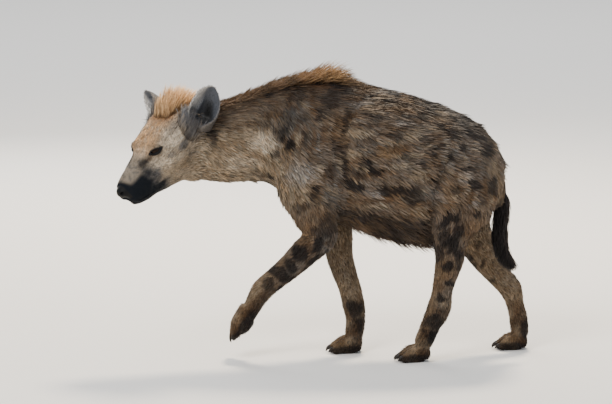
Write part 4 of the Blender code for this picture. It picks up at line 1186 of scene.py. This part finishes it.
# The white of the eye is nearly black, and so is the pupil.
WHITE = (0.007, 0.005, 0.004, 1)
PUPIL = (0.003, 0.003, 0.003, 1)
IRIS_START = 0.0085
EYE_GAP = 0.0004
CORNEA_RISE, CORNEA_SPREAD = 0.0009, 0.55
EYE_GAZE = Vector((0.66, 0.70, 0.10))
EYE_RINGS, EYE_SIDES = 20, 32
eye_glass, tree, shader = principled("wet eye", 0.26)
shader.inputs["Specular IOR Level"].default_value = 0.04
shader.inputs["Coat Weight"].default_value = 0.14
shader.inputs["Coat Roughness"].default_value = 0.04
spot = wired(tree, "ShaderNodeTexCoord")
gazing = tree.nodes.new("ShaderNodeSeparateXYZ")
tree.links.new(spot.outputs["Object"], gazing.inputs[0])
reach = {"From Min": IRIS_START, "From Max": EYE_RADIUS + 0.001}
rings = wired(tree, "ShaderNodeMapRange", reach, Value=gazing.outputs["X"])
bands = tree.nodes.new("ShaderNodeValToRGB")
tree.links.new(rings.outputs["Result"], bands.inputs["Fac"])
bands.color_ramp.elements[0].color = WHITE
bands.color_ramp.elements[1].color = PUPIL
bands.color_ramp.elements[1].position = 0.93
for position, colour in ((0.18, IRIS_RIM), (0.30, IRIS), (0.86, IRIS)):
    bands.color_ramp.elements.new(position).color = colour
grained(tree, shader, bands.outputs["Color"], scale=900.0, detail=2.0, low=0.6, high=1.4)
for name, side in (("eye_left", 1), ("eye_right", -1)):
    rings = []
    for i in range(1, EYE_RINGS):
        polar = math.pi * i / EYE_RINGS
        radius = EYE_RADIUS - EYE_GAP + CORNEA_RISE * math.exp(-(polar / CORNEA_SPREAD) ** 2)
        ahead, out = radius * math.cos(polar), radius * math.sin(polar)
        turns = np.linspace(0, 2 * math.pi, EYE_SIDES, endpoint=False)
        rings.append([(ahead, out * math.cos(a), out * math.sin(a)) for a in turns])
    points, faces = skinned(rings)
    points[-2] = (EYE_RADIUS - EYE_GAP + CORNEA_RISE, 0, 0)
    points[-1] = (-EYE_RADIUS + EYE_GAP, 0, 0)
    eye = mesh_object("eyeball_" + name[4:], [(points, faces)])
    eye.data.shade_smooth()
    eye.data.materials.append(eye_glass)
    gaze = HEAD.to_3x3() @ Vector((EYE_GAZE.x, EYE_GAZE.y * side, EYE_GAZE.z))
    eye.location = SHIFT + HEAD @ Vector((EYE_PLACE.x, EYE_PLACE.y * side, EYE_PLACE.z))
    eye.rotation_mode = "QUATERNION"
    eye.rotation_quaternion = gaze.to_track_quat("X", "Z")
    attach(eye, "root")
    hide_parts(name)


# Ears
# Rounded cups of gristle with thin skin, dark inside with a few folds at the root, and pale along
# the front rim. The inside is painted darker still as shade in the hollow of the cup, most of all
# at its root. They stand out from the skull behind the crown tuft.
# In the head's frame: root, tip, the way the cup faces, and its half width.
EARS = {
    "ear_left": ((-0.044, 0.072, -0.034), (-0.122, 0.129, 0.054), (0.655, 0.457, 0.591), 0.047),
    "ear_right": ((-0.030, -0.062, -0.014), (-0.078, -0.138, 0.048), (0.655, -0.457, 0.591), 0.045),
}
EAR_WALL = 0.0030
EAR_STEPS, EAR_SPREAD = 34, 40
EAR_INSET = 0.0016
# Along the ear: share of the length, share of the half width, and how far it wraps, in degrees.
EAR_SHAPE = (
    (0.00, 0.74, 168),
    (0.16, 0.84, 145),
    (0.36, 0.98, 105),
    (0.55, 0.98, 80),
    (0.74, 0.85, 66),
    (0.88, 0.61, 58),
    (0.96, 0.36, 52),
    (1.00, 0.15, 48),
)
# Folds inside the cup: the place across it, half width, height.
EAR_FOLDS = ((0.30, 0.05, 0.0060), (0.48, 0.045, 0.0052), (0.66, 0.05, 0.0044))
EAR_INNER = np.array((0.088, 0.096, 0.114))
EAR_PALE = np.array((1, 0.91, 0.78))
EAR_BACK = np.array((0.060, 0.050, 0.042))
EAR_BACK_TIP = np.array((0.052, 0.050, 0.052))
EAR_RIM = np.array((0.06, 0.055, 0.05))
ear_skin, tree, shader = principled("ear skin", 0.65)
grain = grained(tree, shader, kept_colour(tree), scale=650.0, detail=3.0, low=0.65, high=1.35)
bumped(tree, shader, grain, strength=0.5, distance=0.0008)
ears = {}
for name, (root, tip, facing, width) in EARS.items():
    root, tip, facing = Vector(root), Vector(tip), Vector(facing)
    long = (tip - root).normalized()
    facing = (facing - long * facing.dot(long)).normalized()
    across = long.cross(facing)
    length = (tip - root).length - EAR_INSET
    front = 1 if across.x > 0 else -1
    rings, tints = [], []
    for i in range(EAR_STEPS + 1):
        t = i / EAR_STEPS
        half = (width - EAR_INSET) * read_column(EAR_SHAPE, 1, t)
        wrap = math.radians(read_column(EAR_SHAPE, 2, t))
        radius = half / math.sin(min(wrap, math.pi / 2))
        wall = min(EAR_WALL * (1.25 - 0.6 * t), 0.5 * radius)
        hollow = min(1.0, t / 0.16)
        spine = root + long * length * t - facing * (0.012 * math.sin(math.pi * t) + 0.026 * (1 - t))
        ring = []
        for j in range(2 * EAR_SPREAD + 2):
            inside = j > EAR_SPREAD
            place = (2 * EAR_SPREAD + 1 - j if inside else j) / EAR_SPREAD
            a = wrap * (2 * place - 1)
            fold = sum(tall * math.exp(-(((place - mid) / wide) ** 2)) for mid, wide, tall in EAR_FOLDS)
            fold *= math.sin(math.pi * min(1.0, max(0.0, (t - 0.08) / 0.55)))
            r = max(0.06 * radius, (radius - wall) * hollow - fold) if inside else radius
            ring.append(spine + across * (r * math.sin(a)) + facing * (radius - r * math.cos(a)))
            rim = max(0.0, min(1.0, 1 - min(min(place, 1 - place) / 0.07, (1 - t) / 0.07)))
            ahead = place if front > 0 else 1 - place
            if inside:
                # Painted shade in the hollow of the cup, and below it painted shade deepening towards the
                # root.
                cup_shade = math.exp(-(((t - 0.26) / 0.34) ** 4) - ((ahead - 0.46 - 0.15 * t) / 0.15) ** 2)
                edge = ramp(np.array(ahead), 0.68, 0.97) * ramp(np.array(t), 0.14, 0.40)
                shade = EAR_INNER * (0.75 + 0.4 * edge) * (1 - 0.97 * cup_shade)
                shade = shade * (0.45 + 0.55 * ramp(np.array(t), 0.05, 0.35))
                shade = shade + (0.40 * edge + 0.04 * rim) * EAR_PALE
            else:
                shade = EAR_BACK * (1 - t) + EAR_BACK_TIP * t
                shade = shade + rim * EAR_RIM * min(1.0, t / 0.4)
            tints.append(shade)
        rings.append([tuple(p) for p in ring])
    made = mesh_object(name.replace("ear", "ear_cup"), [placed_on_head(skinned(rings))])
    tints += [tints[0], tints[-1]]
    stored(made.data, "coat", np.array(tints))
    made.data.shade_smooth()
    made.data.materials.append(ear_skin)
    made.location = SHIFT
    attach(made, "root")
    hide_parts(name)
    ears[name] = made


# Claws
# Blunt, dark horn claws that never draw in, one at the end of each toe, each a curved cone that
# leaves the hair of the toe and points at the ground.
CLAW_LENGTH = 0.017
CLAW_GAP = 0.0016
CLAW_STEPS, CLAW_SIDES = 8, 10
HORN_DARK = (0.005, 0.0045, 0.004, 1)
HORN_PALE = (0.034, 0.026, 0.020, 1)
horn, tree, shader = principled("claw horn", 0.42)
shader.inputs["Specular IOR Level"].default_value = 0.25
spot = wired(tree, "ShaderNodeTexCoord")
rings_of_growth = wired(tree, "ShaderNodeTexNoise", {"Scale": 260.0}, Vector=spot.outputs["Object"])
bands = tree.nodes.new("ShaderNodeValToRGB")
tree.links.new(rings_of_growth.outputs["Fac"], bands.inputs["Fac"])
bands.color_ramp.elements[0].color = HORN_DARK
bands.color_ramp.elements[1].color = HORN_PALE
tree.links.new(bands.outputs["Color"], shader.inputs["Base Color"])
for name in PAWS:
    shapes = []
    for _, _, end, radius, way, side, above in toe_frames(name):
        root = end + way * radius * 0.30 + above * radius * 0.42
        rings = []
        for i in range(CLAW_STEPS + 1):
            t = i / CLAW_STEPS
            angle = math.radians(8 + 66 * t)
            centre = root + way * CLAW_LENGTH * math.sin(t * 1.15) - above * CLAW_LENGTH * 0.62 * t**1.7
            centre.z = max(centre.z, CLAW_GAP)
            wide = 0.0040 * (1 - t) ** 0.65 + 0.0004
            normal = above * math.cos(angle) + way * math.sin(angle)
            rings.append([
                tuple(centre + side * wide * math.cos(a) + normal * wide * 1.25 * math.sin(a))
                for a in np.linspace(0, 2 * math.pi, CLAW_SIDES, endpoint=False)
            ])
        shapes.append(skinned(rings))
    made = mesh_object("claws_" + name.replace("leg", "paw"), shapes)
    made.data.shade_smooth()
    made.data.materials.append(horn)
    made.location = SHIFT
    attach(made, "root")


# Body coat
# Coarse, rather long hair in pointed locks, lying back along the flank and hanging down over
# shoulder and thigh. Each lock is a thin three-sided blade rooted in the skin.
# Length, lift in degrees and width of the hair, at each station of trunk, legs and head.
COAT_LENGTH = {
    "trunk": (0.026, 0.026, 0.028, 0.030, 0.031, 0.031, 0.031, 0.032, 0.034, 0.037, 0.040, 0.040,
              0.038, 0.034, 0.030, 0.027, 0.025, 0.024),
    "leg": (0.028, 0.026, 0.025, 0.022, 0.019, 0.0170, 0.0155, 0.0145, 0.0140, 0.0130, 0.0110),
    "head": (0.0045, 0.0052, 0.0060, 0.0070, 0.0084, 0.0098, 0.012, 0.015, 0.019, 0.023),
}
COAT_LIFT = {
    "trunk": (24, 25, 26, 26, 26, 26, 26, 26, 27, 28, 29, 29, 28, 27, 26, 24, 23, 22),
    "leg": (24, 23, 22, 20, 19, 19, 20, 22, 25, 27, 24),
    "head": (18, 19, 20, 20, 20, 20, 20, 21, 22, 24),
}
COAT_WIDTH = {
    "trunk": (0.0036,) * 5 + (0.0042,) * 4 + (0.0050,) * 5 + (0.0044,) * 4,
    "leg": (0.0040, 0.0038, 0.0035, 0.0031, 0.0028, 0.0026, 0.0024, 0.0023, 0.0022, 0.0021, 0.0020),
    "head": (0.0009, 0.0010, 0.0011, 0.0013, 0.0015, 0.0017, 0.0020, 0.0025, 0.0030, 0.0034),
}
# Along a lock: share of its length, share of its width.
LONG_RINGS = ((0.0, 0.85), (0.45, 1.0), (0.80, 0.62))
SHORT_RINGS = ((0.0, 0.95), (0.60, 0.85))
HAIR_GAP = 0.0008
PATCH_SIZE = 0.003
hair, tree, shader = principled("hair", 0.58)
grained(tree, shader, kept_colour(tree), scale=700.0, detail=2.0, low=0.78, high=1.22)
shader.inputs["Specular IOR Level"].default_value = 0.08
shader.inputs["Sheen Weight"].default_value = 0.03

# The skin's triangles and the part of the animal that each belongs to, for sowing the roots. No
# hair grows on the eyes, the nose, the soles or where the ears stand.
skin.data.calc_loop_triangles()
corners = np.empty(len(skin.data.loop_triangles) * 3, np.int32)
skin.data.loop_triangles.foreach_get("vertices", corners)
corners = corners.reshape(-1, 3)
skin_points, skin_normals = mesh_points(skin.data)
triangle_points = skin_points[corners]
middle = triangle_points.mean(axis=1)
area = np.linalg.norm(np.cross(
    triangle_points[:, 1] - triangle_points[:, 0], triangle_points[:, 2] - triangle_points[:, 0]
), axis=1) / 2
middle_normal = skin_normals[corners].mean(axis=1)
middle_at = masses_at(middle)
middle_head = in_head(middle)
head_part, trunk_part = middle_at["head"][0], middle_at["trunk"][0]
leg_part = sum(middle_at[name][0] for name in LEGS)
haired = (round_eye(middle_head) > 0.92) & (middle[:, 2] > 0.006)
haired &= ~((head_part > 0.5) & (middle_head[:, 0] > 0.240))
for root, tip, facing, width in EARS.values():
    root, long, facing = Vector(root), (Vector(tip) - Vector(root)).normalized(), Vector(facing)
    off = middle_head - np.array(root + facing * 0.006)
    reach = off @ np.array(long)
    aside = np.linalg.norm(off - reach[:, None] * np.array(long), axis=1)
    haired &= ~((aside < width * 0.62) & (reach > -0.010) & (reach < 0.08))


def sown(count, density, seed):
    """Roots strewn over the skin as thickly as density says, at places drawn evenly along it."""
    draw = np.random.default_rng(seed)
    mass = np.cumsum(area * density * haired)
    spots = (np.arange(count) + draw.uniform(0, 1, count)) / count * mass[-1]
    chosen = np.searchsorted(mass, spots)
    a, b = draw.uniform(0, 1, (2, count))
    over = a + b > 1
    a[over], b[over] = 1 - a[over], 1 - b[over]
    parts = np.column_stack([1 - a - b, a, b])[:, :, None]
    roots = (triangle_points[chosen] * parts).sum(axis=1)
    normals = (skin_normals[corners[chosen]] * parts).sum(axis=1)
    return roots, normals / np.linalg.norm(normals, axis=1)[:, None], draw


def locks(name, roots, normals, lie, length, width, lift, droop, tints, patch, shape):
    """A joined mesh of bent, tapered locks, with a small patch of the map for each at its root."""
    colour, tip_colour = tints
    lie = lie - normals * (lie * normals).sum(axis=1)[:, None]
    lie /= np.linalg.norm(lie, axis=1)[:, None] + 1e-9
    side = np.cross(normals, lie)
    count = len(roots)
    place = roots - normals * (0.0005 + 0.02 * length)[:, None]
    rings, before = [], 0.0
    for share, wide in shape + ((1.0, 0.0),):
        angle = (lift - droop * (share + before) / 2)[:, None]
        way = lie * np.cos(angle) + normals * np.sin(angle)
        place = place + way * (length * (share - before))[:, None]
        before = share
        above = np.cross(side, way)
        half = (width * wide / 2)[:, None]
        if share < 1:
            rings += [place + side * half, place + above * half * 0.7, place - side * half]
        else:
            rings.append(place)
    ring_count = len(shape)
    per = ring_count * 3 + 1
    points = np.stack(rings, axis=1).reshape(-1, 3)
    points[:, 2] = np.maximum(points[:, 2], HAIR_GAP)
    faces = [(0, 2, 1)]
    for i in range(ring_count - 1):
        for j in range(3):
            k = (j + 1) % 3
            a, b, c, d = i * 3 + j, i * 3 + k, i * 3 + 3 + k, i * 3 + 3 + j
            faces += [(a, b, c), (a, c, d)]
    for j in range(3):
        faces.append(((ring_count - 1) * 3 + j, (ring_count - 1) * 3 + (j + 1) % 3, ring_count * 3))
    faces = np.array(faces)
    every = (faces[None] + np.arange(count)[:, None, None] * per).reshape(-1)
    mesh = bpy.data.meshes.new(name)
    mesh.vertices.add(len(points))
    mesh.vertices.foreach_set("co", points.ravel())
    mesh.loops.add(len(every))
    mesh.loops.foreach_set("vertex_index", every.astype(np.int32))
    mesh.polygons.add(len(every) // 3)
    mesh.polygons.foreach_set("loop_start", np.arange(0, len(every), 3, dtype=np.int32))
    mesh.update(calc_edges=True)
    shares = np.array([share for share, _ in shape for _ in range(3)] + [1.0])
    along = np.tile(shares, count)[:, None]
    root_tint, tip_tint = np.repeat(colour, per, axis=0), np.repeat(tip_colour, per, axis=0)
    stored(mesh, "coat", np.clip(root_tint + (tip_tint - root_tint) * along, 0, 1))
    local = np.array([((k % 3) / 2, share) for k, share in enumerate(shares)])
    spread = (patch[:, None, :] + PATCH_SIZE * local[None]).reshape(-1, 2)
    chart = mesh.uv_layers.new(name="OFBake")
    chart.data.foreach_set("uv", spread[every].ravel().astype(np.float32))
    mesh.shade_smooth()
    mesh.materials.append(hair)
    made = bpy.data.objects.new(name, mesh)
    bpy.context.scene.collection.objects.link(made)
    made.location = SHIFT
    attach(made, "root")
    return made


def unrolled(roots, at):
    """Each root's place on the skin laid flat: along its mass, and round it."""
    names = list(at)
    shares = np.array([at[name][0] for name in names])
    chosen = shares.argmax(axis=0)
    u, v = np.zeros(len(roots)), np.zeros(len(roots))
    for i, name in enumerate(names):
        mine = chosen == i
        rows = AXIS[name]
        _, along, way = at[name]
        step = np.arange(len(rows))
        centre = np.column_stack([np.interp(along, step, rows[:, c]) for c in range(3)])
        off = roots - centre
        up = np.array((0.0, 0.0, 1.0)) if name in ("trunk", "head") else np.array((1.0, 0.0, 0.0))
        first = up - way * (way @ up)[:, None]
        first /= np.linalg.norm(first, axis=1)[:, None]
        second = np.cross(way, first)
        turn = np.arctan2((off * second).sum(axis=1), (off * first).sum(axis=1)) / (2 * math.pi) + 0.5
        column = list(LEGS).index(name) if name in LEGS else 0
        if name in LEGS:
            u[mine], v[mine] = (column + turn[mine]) / 4, along[mine] / (len(rows) - 1)
        else:
            u[mine], v[mine] = along[mine] / (len(rows) - 1), turn[mine]
    return np.column_stack([u, v])


def coat(name, count, density, seed, shape=LONG_RINGS, swirl=0.22, ticked=0.20):
    """One piece of the coat over the part of the skin where density is above nothing."""
    roots, normals, draw = sown(count, density, seed)
    at = masses_at(roots)
    lie = hair_lie(normals, at)
    turn = swirl * ripple(roots, 0.07, 61) + draw.normal(0, 0.11, count)
    lie = lie * np.cos(turn)[:, None] + np.cross(normals, lie) * np.sin(turn)[:, None]
    length = read_table(COAT_LENGTH, at) * draw.uniform(0.75, 1.2, count)
    length *= 1 + 0.15 * ripple(roots, 0.05, 62)
    width = read_table(COAT_WIDTH, at) * draw.uniform(0.8, 1.25, count)
    lift = np.radians(read_table(COAT_LIFT, at)) * draw.uniform(0.6, 1.3, count)
    above = ramp(normals[:, 2], 0.15, 0.75) * at["trunk"][0]
    length, width, lift = length * (1 + 0.30 * above), width * (1 - 0.42 * above), lift * (1 - 0.50 * above)
    tone = draw.normal(1.0, ticked, count) * (1 - 0.3 * above) + 0.3 * above + 0.14 * ripple(roots, 0.016, 63)
    warm = draw.normal(0, 0.05, count)[:, None] * np.array((1.0, 0.1, -0.9))
    seen = roots + lie * (0.55 * length)[:, None]
    colour = coat_colour(seen, normals, at) * tone.clip(0.35, 2.0)[:, None] * (1 + warm)
    # Darker roots are painted shade deep in the coat; the paler tips are partly the hair's own ticking.
    shaded_root_tone, tip_tone = (0.60 + 0.24 * above)[:, None], (1.25 - 0.16 * above)[:, None]
    return locks(name, roots, normals, lie, length, width, lift, lift * 0.8,
                 (colour * shaded_root_tone, colour * tip_tone), unrolled(roots, at), shape)


on_trunk = trunk_part * (1 - head_part)
upper_leg = leg_part * ramp(middle[:, 2], 0.36, 0.40)
lower_leg = leg_part * (0.35 + 0.65 * ramp(middle[:, 2], 0.45, 0.25))
lower_leg *= (middle[:, 2] < 0.42) & (leg_part > 0.3)
at_front, at_rear = middle[:, 0] < 0.06, middle[:, 0] >= 0.30
coat("coat_neck", 9800, on_trunk * ramp(middle[:, 0], -0.135, -0.150), seed=101)
coat("coat_shoulders", 11000, (on_trunk + upper_leg) * (middle[:, 0] >= -0.150) * at_front, seed=102)
coat("coat_flanks", 10800, on_trunk * ~at_front * ~at_rear, seed=103)
coat("coat_rump", 11400, (on_trunk + upper_leg) * at_rear, seed=104)
fore, hind = lower_leg * (middle[:, 0] < 0.15), lower_leg * (middle[:, 0] >= 0.15)
coat("coat_forelegs", 14000, fore, seed=105, shape=SHORT_RINGS, swirl=0.10, ticked=0.34)
coat("coat_hindlegs", 13500, hind, seed=106, shape=SHORT_RINGS, swirl=0.10, ticked=0.34)
face_density = 1 + 3.0 * ramp(middle_head[:, 0], 0.02, 0.12)
coat("coat_head", 16800, head_part * face_density, seed=107, shape=SHORT_RINGS, swirl=0.12, ticked=0.38)


# Mane, crown and fringe
# Longer hair that stands along the nape and withers, a tuft on the crown, and a shaggy fringe
# under the belly. The gold tips of the mane and the straw tips of the crown are partly the hair's
# own rusty colour and partly painted backlight; the fringe's tips are partly tan.
# Along the body: x, length of the hair, its lift in degrees, and how golden its tips are, the gold partly
# painted backlight.
MANE = (
    (-0.400, 0.036, 30, 0.15),
    (-0.250, 0.042, 30, 0.10),
    (-0.150, 0.054, 34, 0.20),
    (-0.085, 0.062, 40, 0.35),
    (-0.040, 0.083, 47, 0.80),
    (0.000, 0.083, 44, 0.80),
    (0.035, 0.059, 30, 0.40),
    (0.080, 0.048, 20, 0.20),
    (0.200, 0.038, 14, 0.00),
)


def long_coat(name, count, density, seed, length, width, lift, droop, lie, tip, tip_share,
              shape=LONG_RINGS, stray=0.22):
    """A piece of long coat, its length, lift and lie given for each root by functions of place."""
    roots, normals, draw = sown(count, density, seed)
    at = masses_at(roots)
    tall = length(roots) * draw.uniform(0.48, 1.15, count)
    way = lie(roots) + stray * draw.normal(size=(count, 3))
    colour = coat_colour(roots, normals, at) * draw.normal(1.0, 0.25, count).clip(0.45, 1.8)[:, None]
    end = blended(colour * 1.2, tip, tip_share(roots) * draw.uniform(0.3, 1.0, count))
    lifts = np.radians(lift(roots)) * draw.uniform(0.7, 1.2, count)
    wide = width * draw.uniform(0.7, 1.2, count)
    # The roots are darkened as painted shade deep in the coat.
    return locks(name, roots, normals, way, tall, wide, lifts, np.full(count, math.radians(droop)),
                 (colour * 0.6, end), unrolled(roots, at), shape)


def from_mane(column):
    """A function that reads one column of the mane's values for each root."""
    return lambda roots: read_column(MANE, column, roots[:, 0])


def backward(roots):
    """The mane lies towards the tail, and parts a little to each side of the spine."""
    spine = read_column(TRUNK, 1, roots[:, 0])
    return np.column_stack([np.ones(len(roots)), 3.5 * (roots[:, 1] - spine), np.zeros(len(roots))])


off_spine = np.abs(middle[:, 1] - read_column(TRUNK, 1, middle[:, 0]))
ridge = ramp(off_spine, 0.036, 0.004) * (middle_normal[:, 2] > 0.3) * (middle[:, 2] > 0.6)
ridge *= ramp(middle[:, 0], 0.21, 0.13) * ramp(middle[:, 0], -0.415, -0.395)
# The mane's gold tips are partly painted backlight.
long_coat("mane", 5600, ridge, seed=111, length=from_mane(1), width=0.0023, lift=from_mane(2),
          droop=22, lie=backward, tip=BACKLIT_GOLD, tip_share=from_mane(3))

crown = head_part * ramp(middle_head[:, 0], -0.095, -0.075) * ramp(middle_head[:, 0], 0.014, -0.006)
crown *= ramp(np.abs(middle_head[:, 1]), 0.038, 0.020) * (middle_head[:, 2] > 0.0)
HEAD_TURNED = np.array(HEAD.to_3x3())


def crown_way(roots):
    """The tuft lies back over the head, and spreads to each side."""
    place = in_head(roots)
    way = np.column_stack([np.full(len(roots), -0.9), place[:, 1] * 4, np.zeros(len(roots))])
    return way @ HEAD_TURNED.T


def crown_length(roots):
    """The tuft is longest in its middle and short at the brow."""
    return np.interp(in_head(roots)[:, 0], (-0.090, -0.050, -0.018, 0.012), (0.058, 0.080, 0.078, 0.034))


def crown_lift(roots):
    """The tuft stands up more towards the brow."""
    return 48 + 230 * in_head(roots)[:, 0]


# The tuft's straw tips are partly painted backlight over its rusty hair.
long_coat("crown_tuft", 3400, crown, seed=112, length=crown_length, width=0.0019, lift=crown_lift,
          droop=8, lie=crown_way, tip=BACKLIT_STRAW, tip_share=lambda r: np.full(len(r), 1.2), stray=0.15)

under = trunk_part * ramp(middle_normal[:, 2], -0.35, -0.75) * ramp(middle[:, 0], 0.01, 0.05)
under *= ramp(middle[:, 0], 0.37, 0.34)


def fringe_length(roots):
    """The fringe is longer towards the thigh, and uneven."""
    return 0.046 + 0.016 * ramp(roots[:, 0], 0.15, 0.27) + 0.014 * ripple(roots, 0.045, 71)


def fringe_tan(roots):
    """How tan the tips of the fringe are, in small clumps."""
    return 0.20 + 0.80 * ramp(ripple(roots, 0.018, 72), -0.1, 0.8)


long_coat("belly_fringe", 3400, under, seed=113, length=fringe_length, width=0.0034,
          lift=lambda r: np.full(len(r), 42.0), droop=26,
          lie=lambda r: np.tile((1.0, 0.0, -0.3), (len(r), 1)), tip=TAN, tip_share=fringe_tan)


# Ear hair
# Very short dark grey hair behind the ears, longer grey tufts in front of their roots, and a pale
# fringe along the front rim.
EAR_HAIR_COUNT, EAR_HAIR_SEED, EAR_HAIR_WIDTH = 3800, 121, 0.0015


def ear_coat(name, ear, count, seed):
    """The short hair of one ear, which takes its tints from the cup and is longer where they are pale."""
    mesh = ear.data
    mesh.calc_loop_triangles()
    index = np.empty(len(mesh.loop_triangles) * 3, np.int32)
    mesh.loop_triangles.foreach_get("vertices", index)
    index = index.reshape(-1, 3)
    points, normals = mesh_points(mesh)
    tints = np.empty(len(points) * 4)
    mesh.color_attributes["coat"].data.foreach_get("color", tints)
    tints = tints.reshape(-1, 4)[:, :3]
    root, tip = (Vector(v) for v in EARS[name][:2])
    long = np.array(HEAD.to_3x3() @ (tip - root).normalized())
    start = np.array(HEAD @ root)
    triangles = points[index]
    first, second = triangles[:, 1] - triangles[:, 0], triangles[:, 2] - triangles[:, 0]
    sizes = np.linalg.norm(np.cross(first, second), axis=1)
    draw = np.random.default_rng(seed)
    mass = np.cumsum(sizes)
    chosen = np.searchsorted(mass, (np.arange(count) + draw.uniform(0, 1, count)) / count * mass[-1])
    a, b = draw.uniform(0, 1, (2, count))
    over = a + b > 1
    a[over], b[over] = 1 - a[over], 1 - b[over]
    parts = np.column_stack([1 - a - b, a, b])[:, :, None]
    roots = (triangles[chosen] * parts).sum(axis=1)
    ways = (normals[index[chosen]] * parts).sum(axis=1)
    ways /= np.linalg.norm(ways, axis=1)[:, None] + 1e-9
    mottle = draw.normal(1.15, 0.45, count).clip(0.3, 2.6)
    colour = (tints[index[chosen]] * parts).sum(axis=1) * mottle[:, None]
    pale = ramp(colour.mean(axis=1), 0.10, 0.25)
    length = (0.0060 + 0.0035 * pale) * draw.uniform(0.7, 1.3, count)
    lift = np.radians(20 + 6 * pale) * draw.uniform(0.6, 1.4, count)
    lie = np.tile(long, (count, 1)) + 0.25 * draw.normal(size=(count, 3))
    share = (roots - start) @ long / (tip - root).length
    turn = np.arctan2(roots[:, 0] - start[0], roots[:, 1] - start[1]) / (2 * math.pi) + 0.5
    patch = np.column_stack([turn * 0.98, np.clip(share, 0, 1) * 0.98])
    width = EAR_HAIR_WIDTH * draw.uniform(0.8, 1.3, count)
    # The roots are darkened as painted shade deep in the coat.
    return locks("coat_" + name, roots, ways, lie, length, width, lift, lift,
                 (colour * 0.8, colour * 1.3), patch, SHORT_RINGS)


for name, ear in ears.items():
    ear_coat(name, ear, EAR_HAIR_COUNT, EAR_HAIR_SEED)

from_root = np.hypot(middle_head[:, 0] + 0.014, middle_head[:, 2] + 0.014)
before_ears = head_part * ramp(from_root, 0.046, 0.022)
before_ears *= np.abs(middle_head[:, 1]) > 0.044


def towards_ear(roots):
    """The tufts lie back, outward and up, over the root of the ear on their side."""
    side = np.sign(in_head(roots)[:, 1])
    way = np.column_stack([np.full(len(roots), -0.75), 0.5 * side, np.full(len(roots), 0.60)])
    return way @ HEAD_TURNED.T


def tuft_ash(roots):
    """How ashen the tips of the tufts are, in small clumps."""
    return 0.25 + 0.85 * ramp(ripple(roots, 0.011, 73), -0.1, 0.8)


long_coat("ear_tufts", 2400, before_ears, seed=122, length=lambda r: np.full(len(r), 0.040),
          width=0.0019, lift=lambda r: np.full(len(r), 50.0), droop=20, lie=towards_ear,
          tip=ASH, tip_share=tuft_ash, shape=SHORT_RINGS)


# Tail
# A slim tail that hangs down and carries a long black brush, a little rusty along its rear edge,
# with the tip curled back.
# Down the tail: x, y and z of its middle, and its two half widths with the hair.
TAIL = (
    (0.478, 0.000, 0.552, 0.024, 0.026),
    (0.503, 0.000, 0.508, 0.022, 0.024),
    (0.510, 0.000, 0.460, 0.019, 0.021),
    (0.507, 0.000, 0.412, 0.018, 0.019),
    (0.505, 0.000, 0.366, 0.016, 0.017),
    (0.508, 0.000, 0.328, 0.013, 0.014),
    (0.522, 0.000, 0.298, 0.009, 0.010),
)
TAIL_INSET = 0.007
BRUSH_COUNT, BRUSH_SEED, BRUSH_WIDTH = 3500, 131, 0.0032
# Length of the brush's hair at each station of the tail.
BRUSH_LENGTH = (0.030, 0.040, 0.055, 0.064, 0.068, 0.066, 0.058)
core = [
    (x, y, z, a - TAIL_INSET * min(1, a / 0.02), b - TAIL_INSET * min(1, b / 0.02))
    for x, y, z, a, b in TAIL
]
tail = mesh_object("tail_core", [oval_tube(core, 0.006, 18)])
tail.data.shade_smooth()
tail_points, _ = mesh_points(tail.data)
rusty = ramp(tail_points[:, 2], 0.50, 0.53)[:, None]
stored(tail.data, "coat", np.array(SOOT) * (1 - rusty) + np.array(TAN) * 0.5 * rusty)
tail.data.materials.append(hide)
tail.location = SHIFT
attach(tail, "root")
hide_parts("tail")
draw = np.random.default_rng(BRUSH_SEED)
rows = np.array(TAIL)
along = draw.uniform(0.25, 1, BRUSH_COUNT) ** 0.9 * (len(rows) - 1)
step = np.arange(len(rows))
centre = np.column_stack([np.interp(along, step, rows[:, c]) for c in range(3)])
radius = np.interp(along, step, rows[:, 3]) - TAIL_INSET
slope = np.gradient(rows[:, :3], axis=0)
way = np.column_stack([np.interp(along, step, slope[:, c]) for c in range(3)])
way /= np.linalg.norm(way, axis=1)[:, None]
turn = draw.uniform(0, 2 * math.pi, BRUSH_COUNT)
out = np.column_stack([np.cos(turn), np.sin(turn), np.zeros(BRUSH_COUNT)])
out -= way * (out * way).sum(axis=1)[:, None]
out /= np.linalg.norm(out, axis=1)[:, None]
roots = centre + out * radius[:, None]
length = np.interp(along, step, BRUSH_LENGTH) * draw.uniform(0.7, 1.15, BRUSH_COUNT)
black = np.tile(np.array(SOOT), (BRUSH_COUNT, 1)) * draw.uniform(0.6, 1.6, BRUSH_COUNT)[:, None]
black = blended(black, TAN, ramp(along, 1.4, 0.6) * 0.6)
ends = blended(black, RUST, ramp(out[:, 0], 0.3, 0.9) * draw.uniform(0, 0.12, BRUSH_COUNT))
lifts = np.radians(draw.uniform(10, 36, BRUSH_COUNT))
lie = way + 0.08 * draw.normal(size=(BRUSH_COUNT, 3))
width = BRUSH_WIDTH * draw.uniform(0.7, 1.3, BRUSH_COUNT)
locks("tail_brush", roots, out, lie, length, width, lifts, lifts + math.radians(8), (black, ends),
      np.column_stack([along / 6.2, turn / 6.5]), LONG_RINGS)
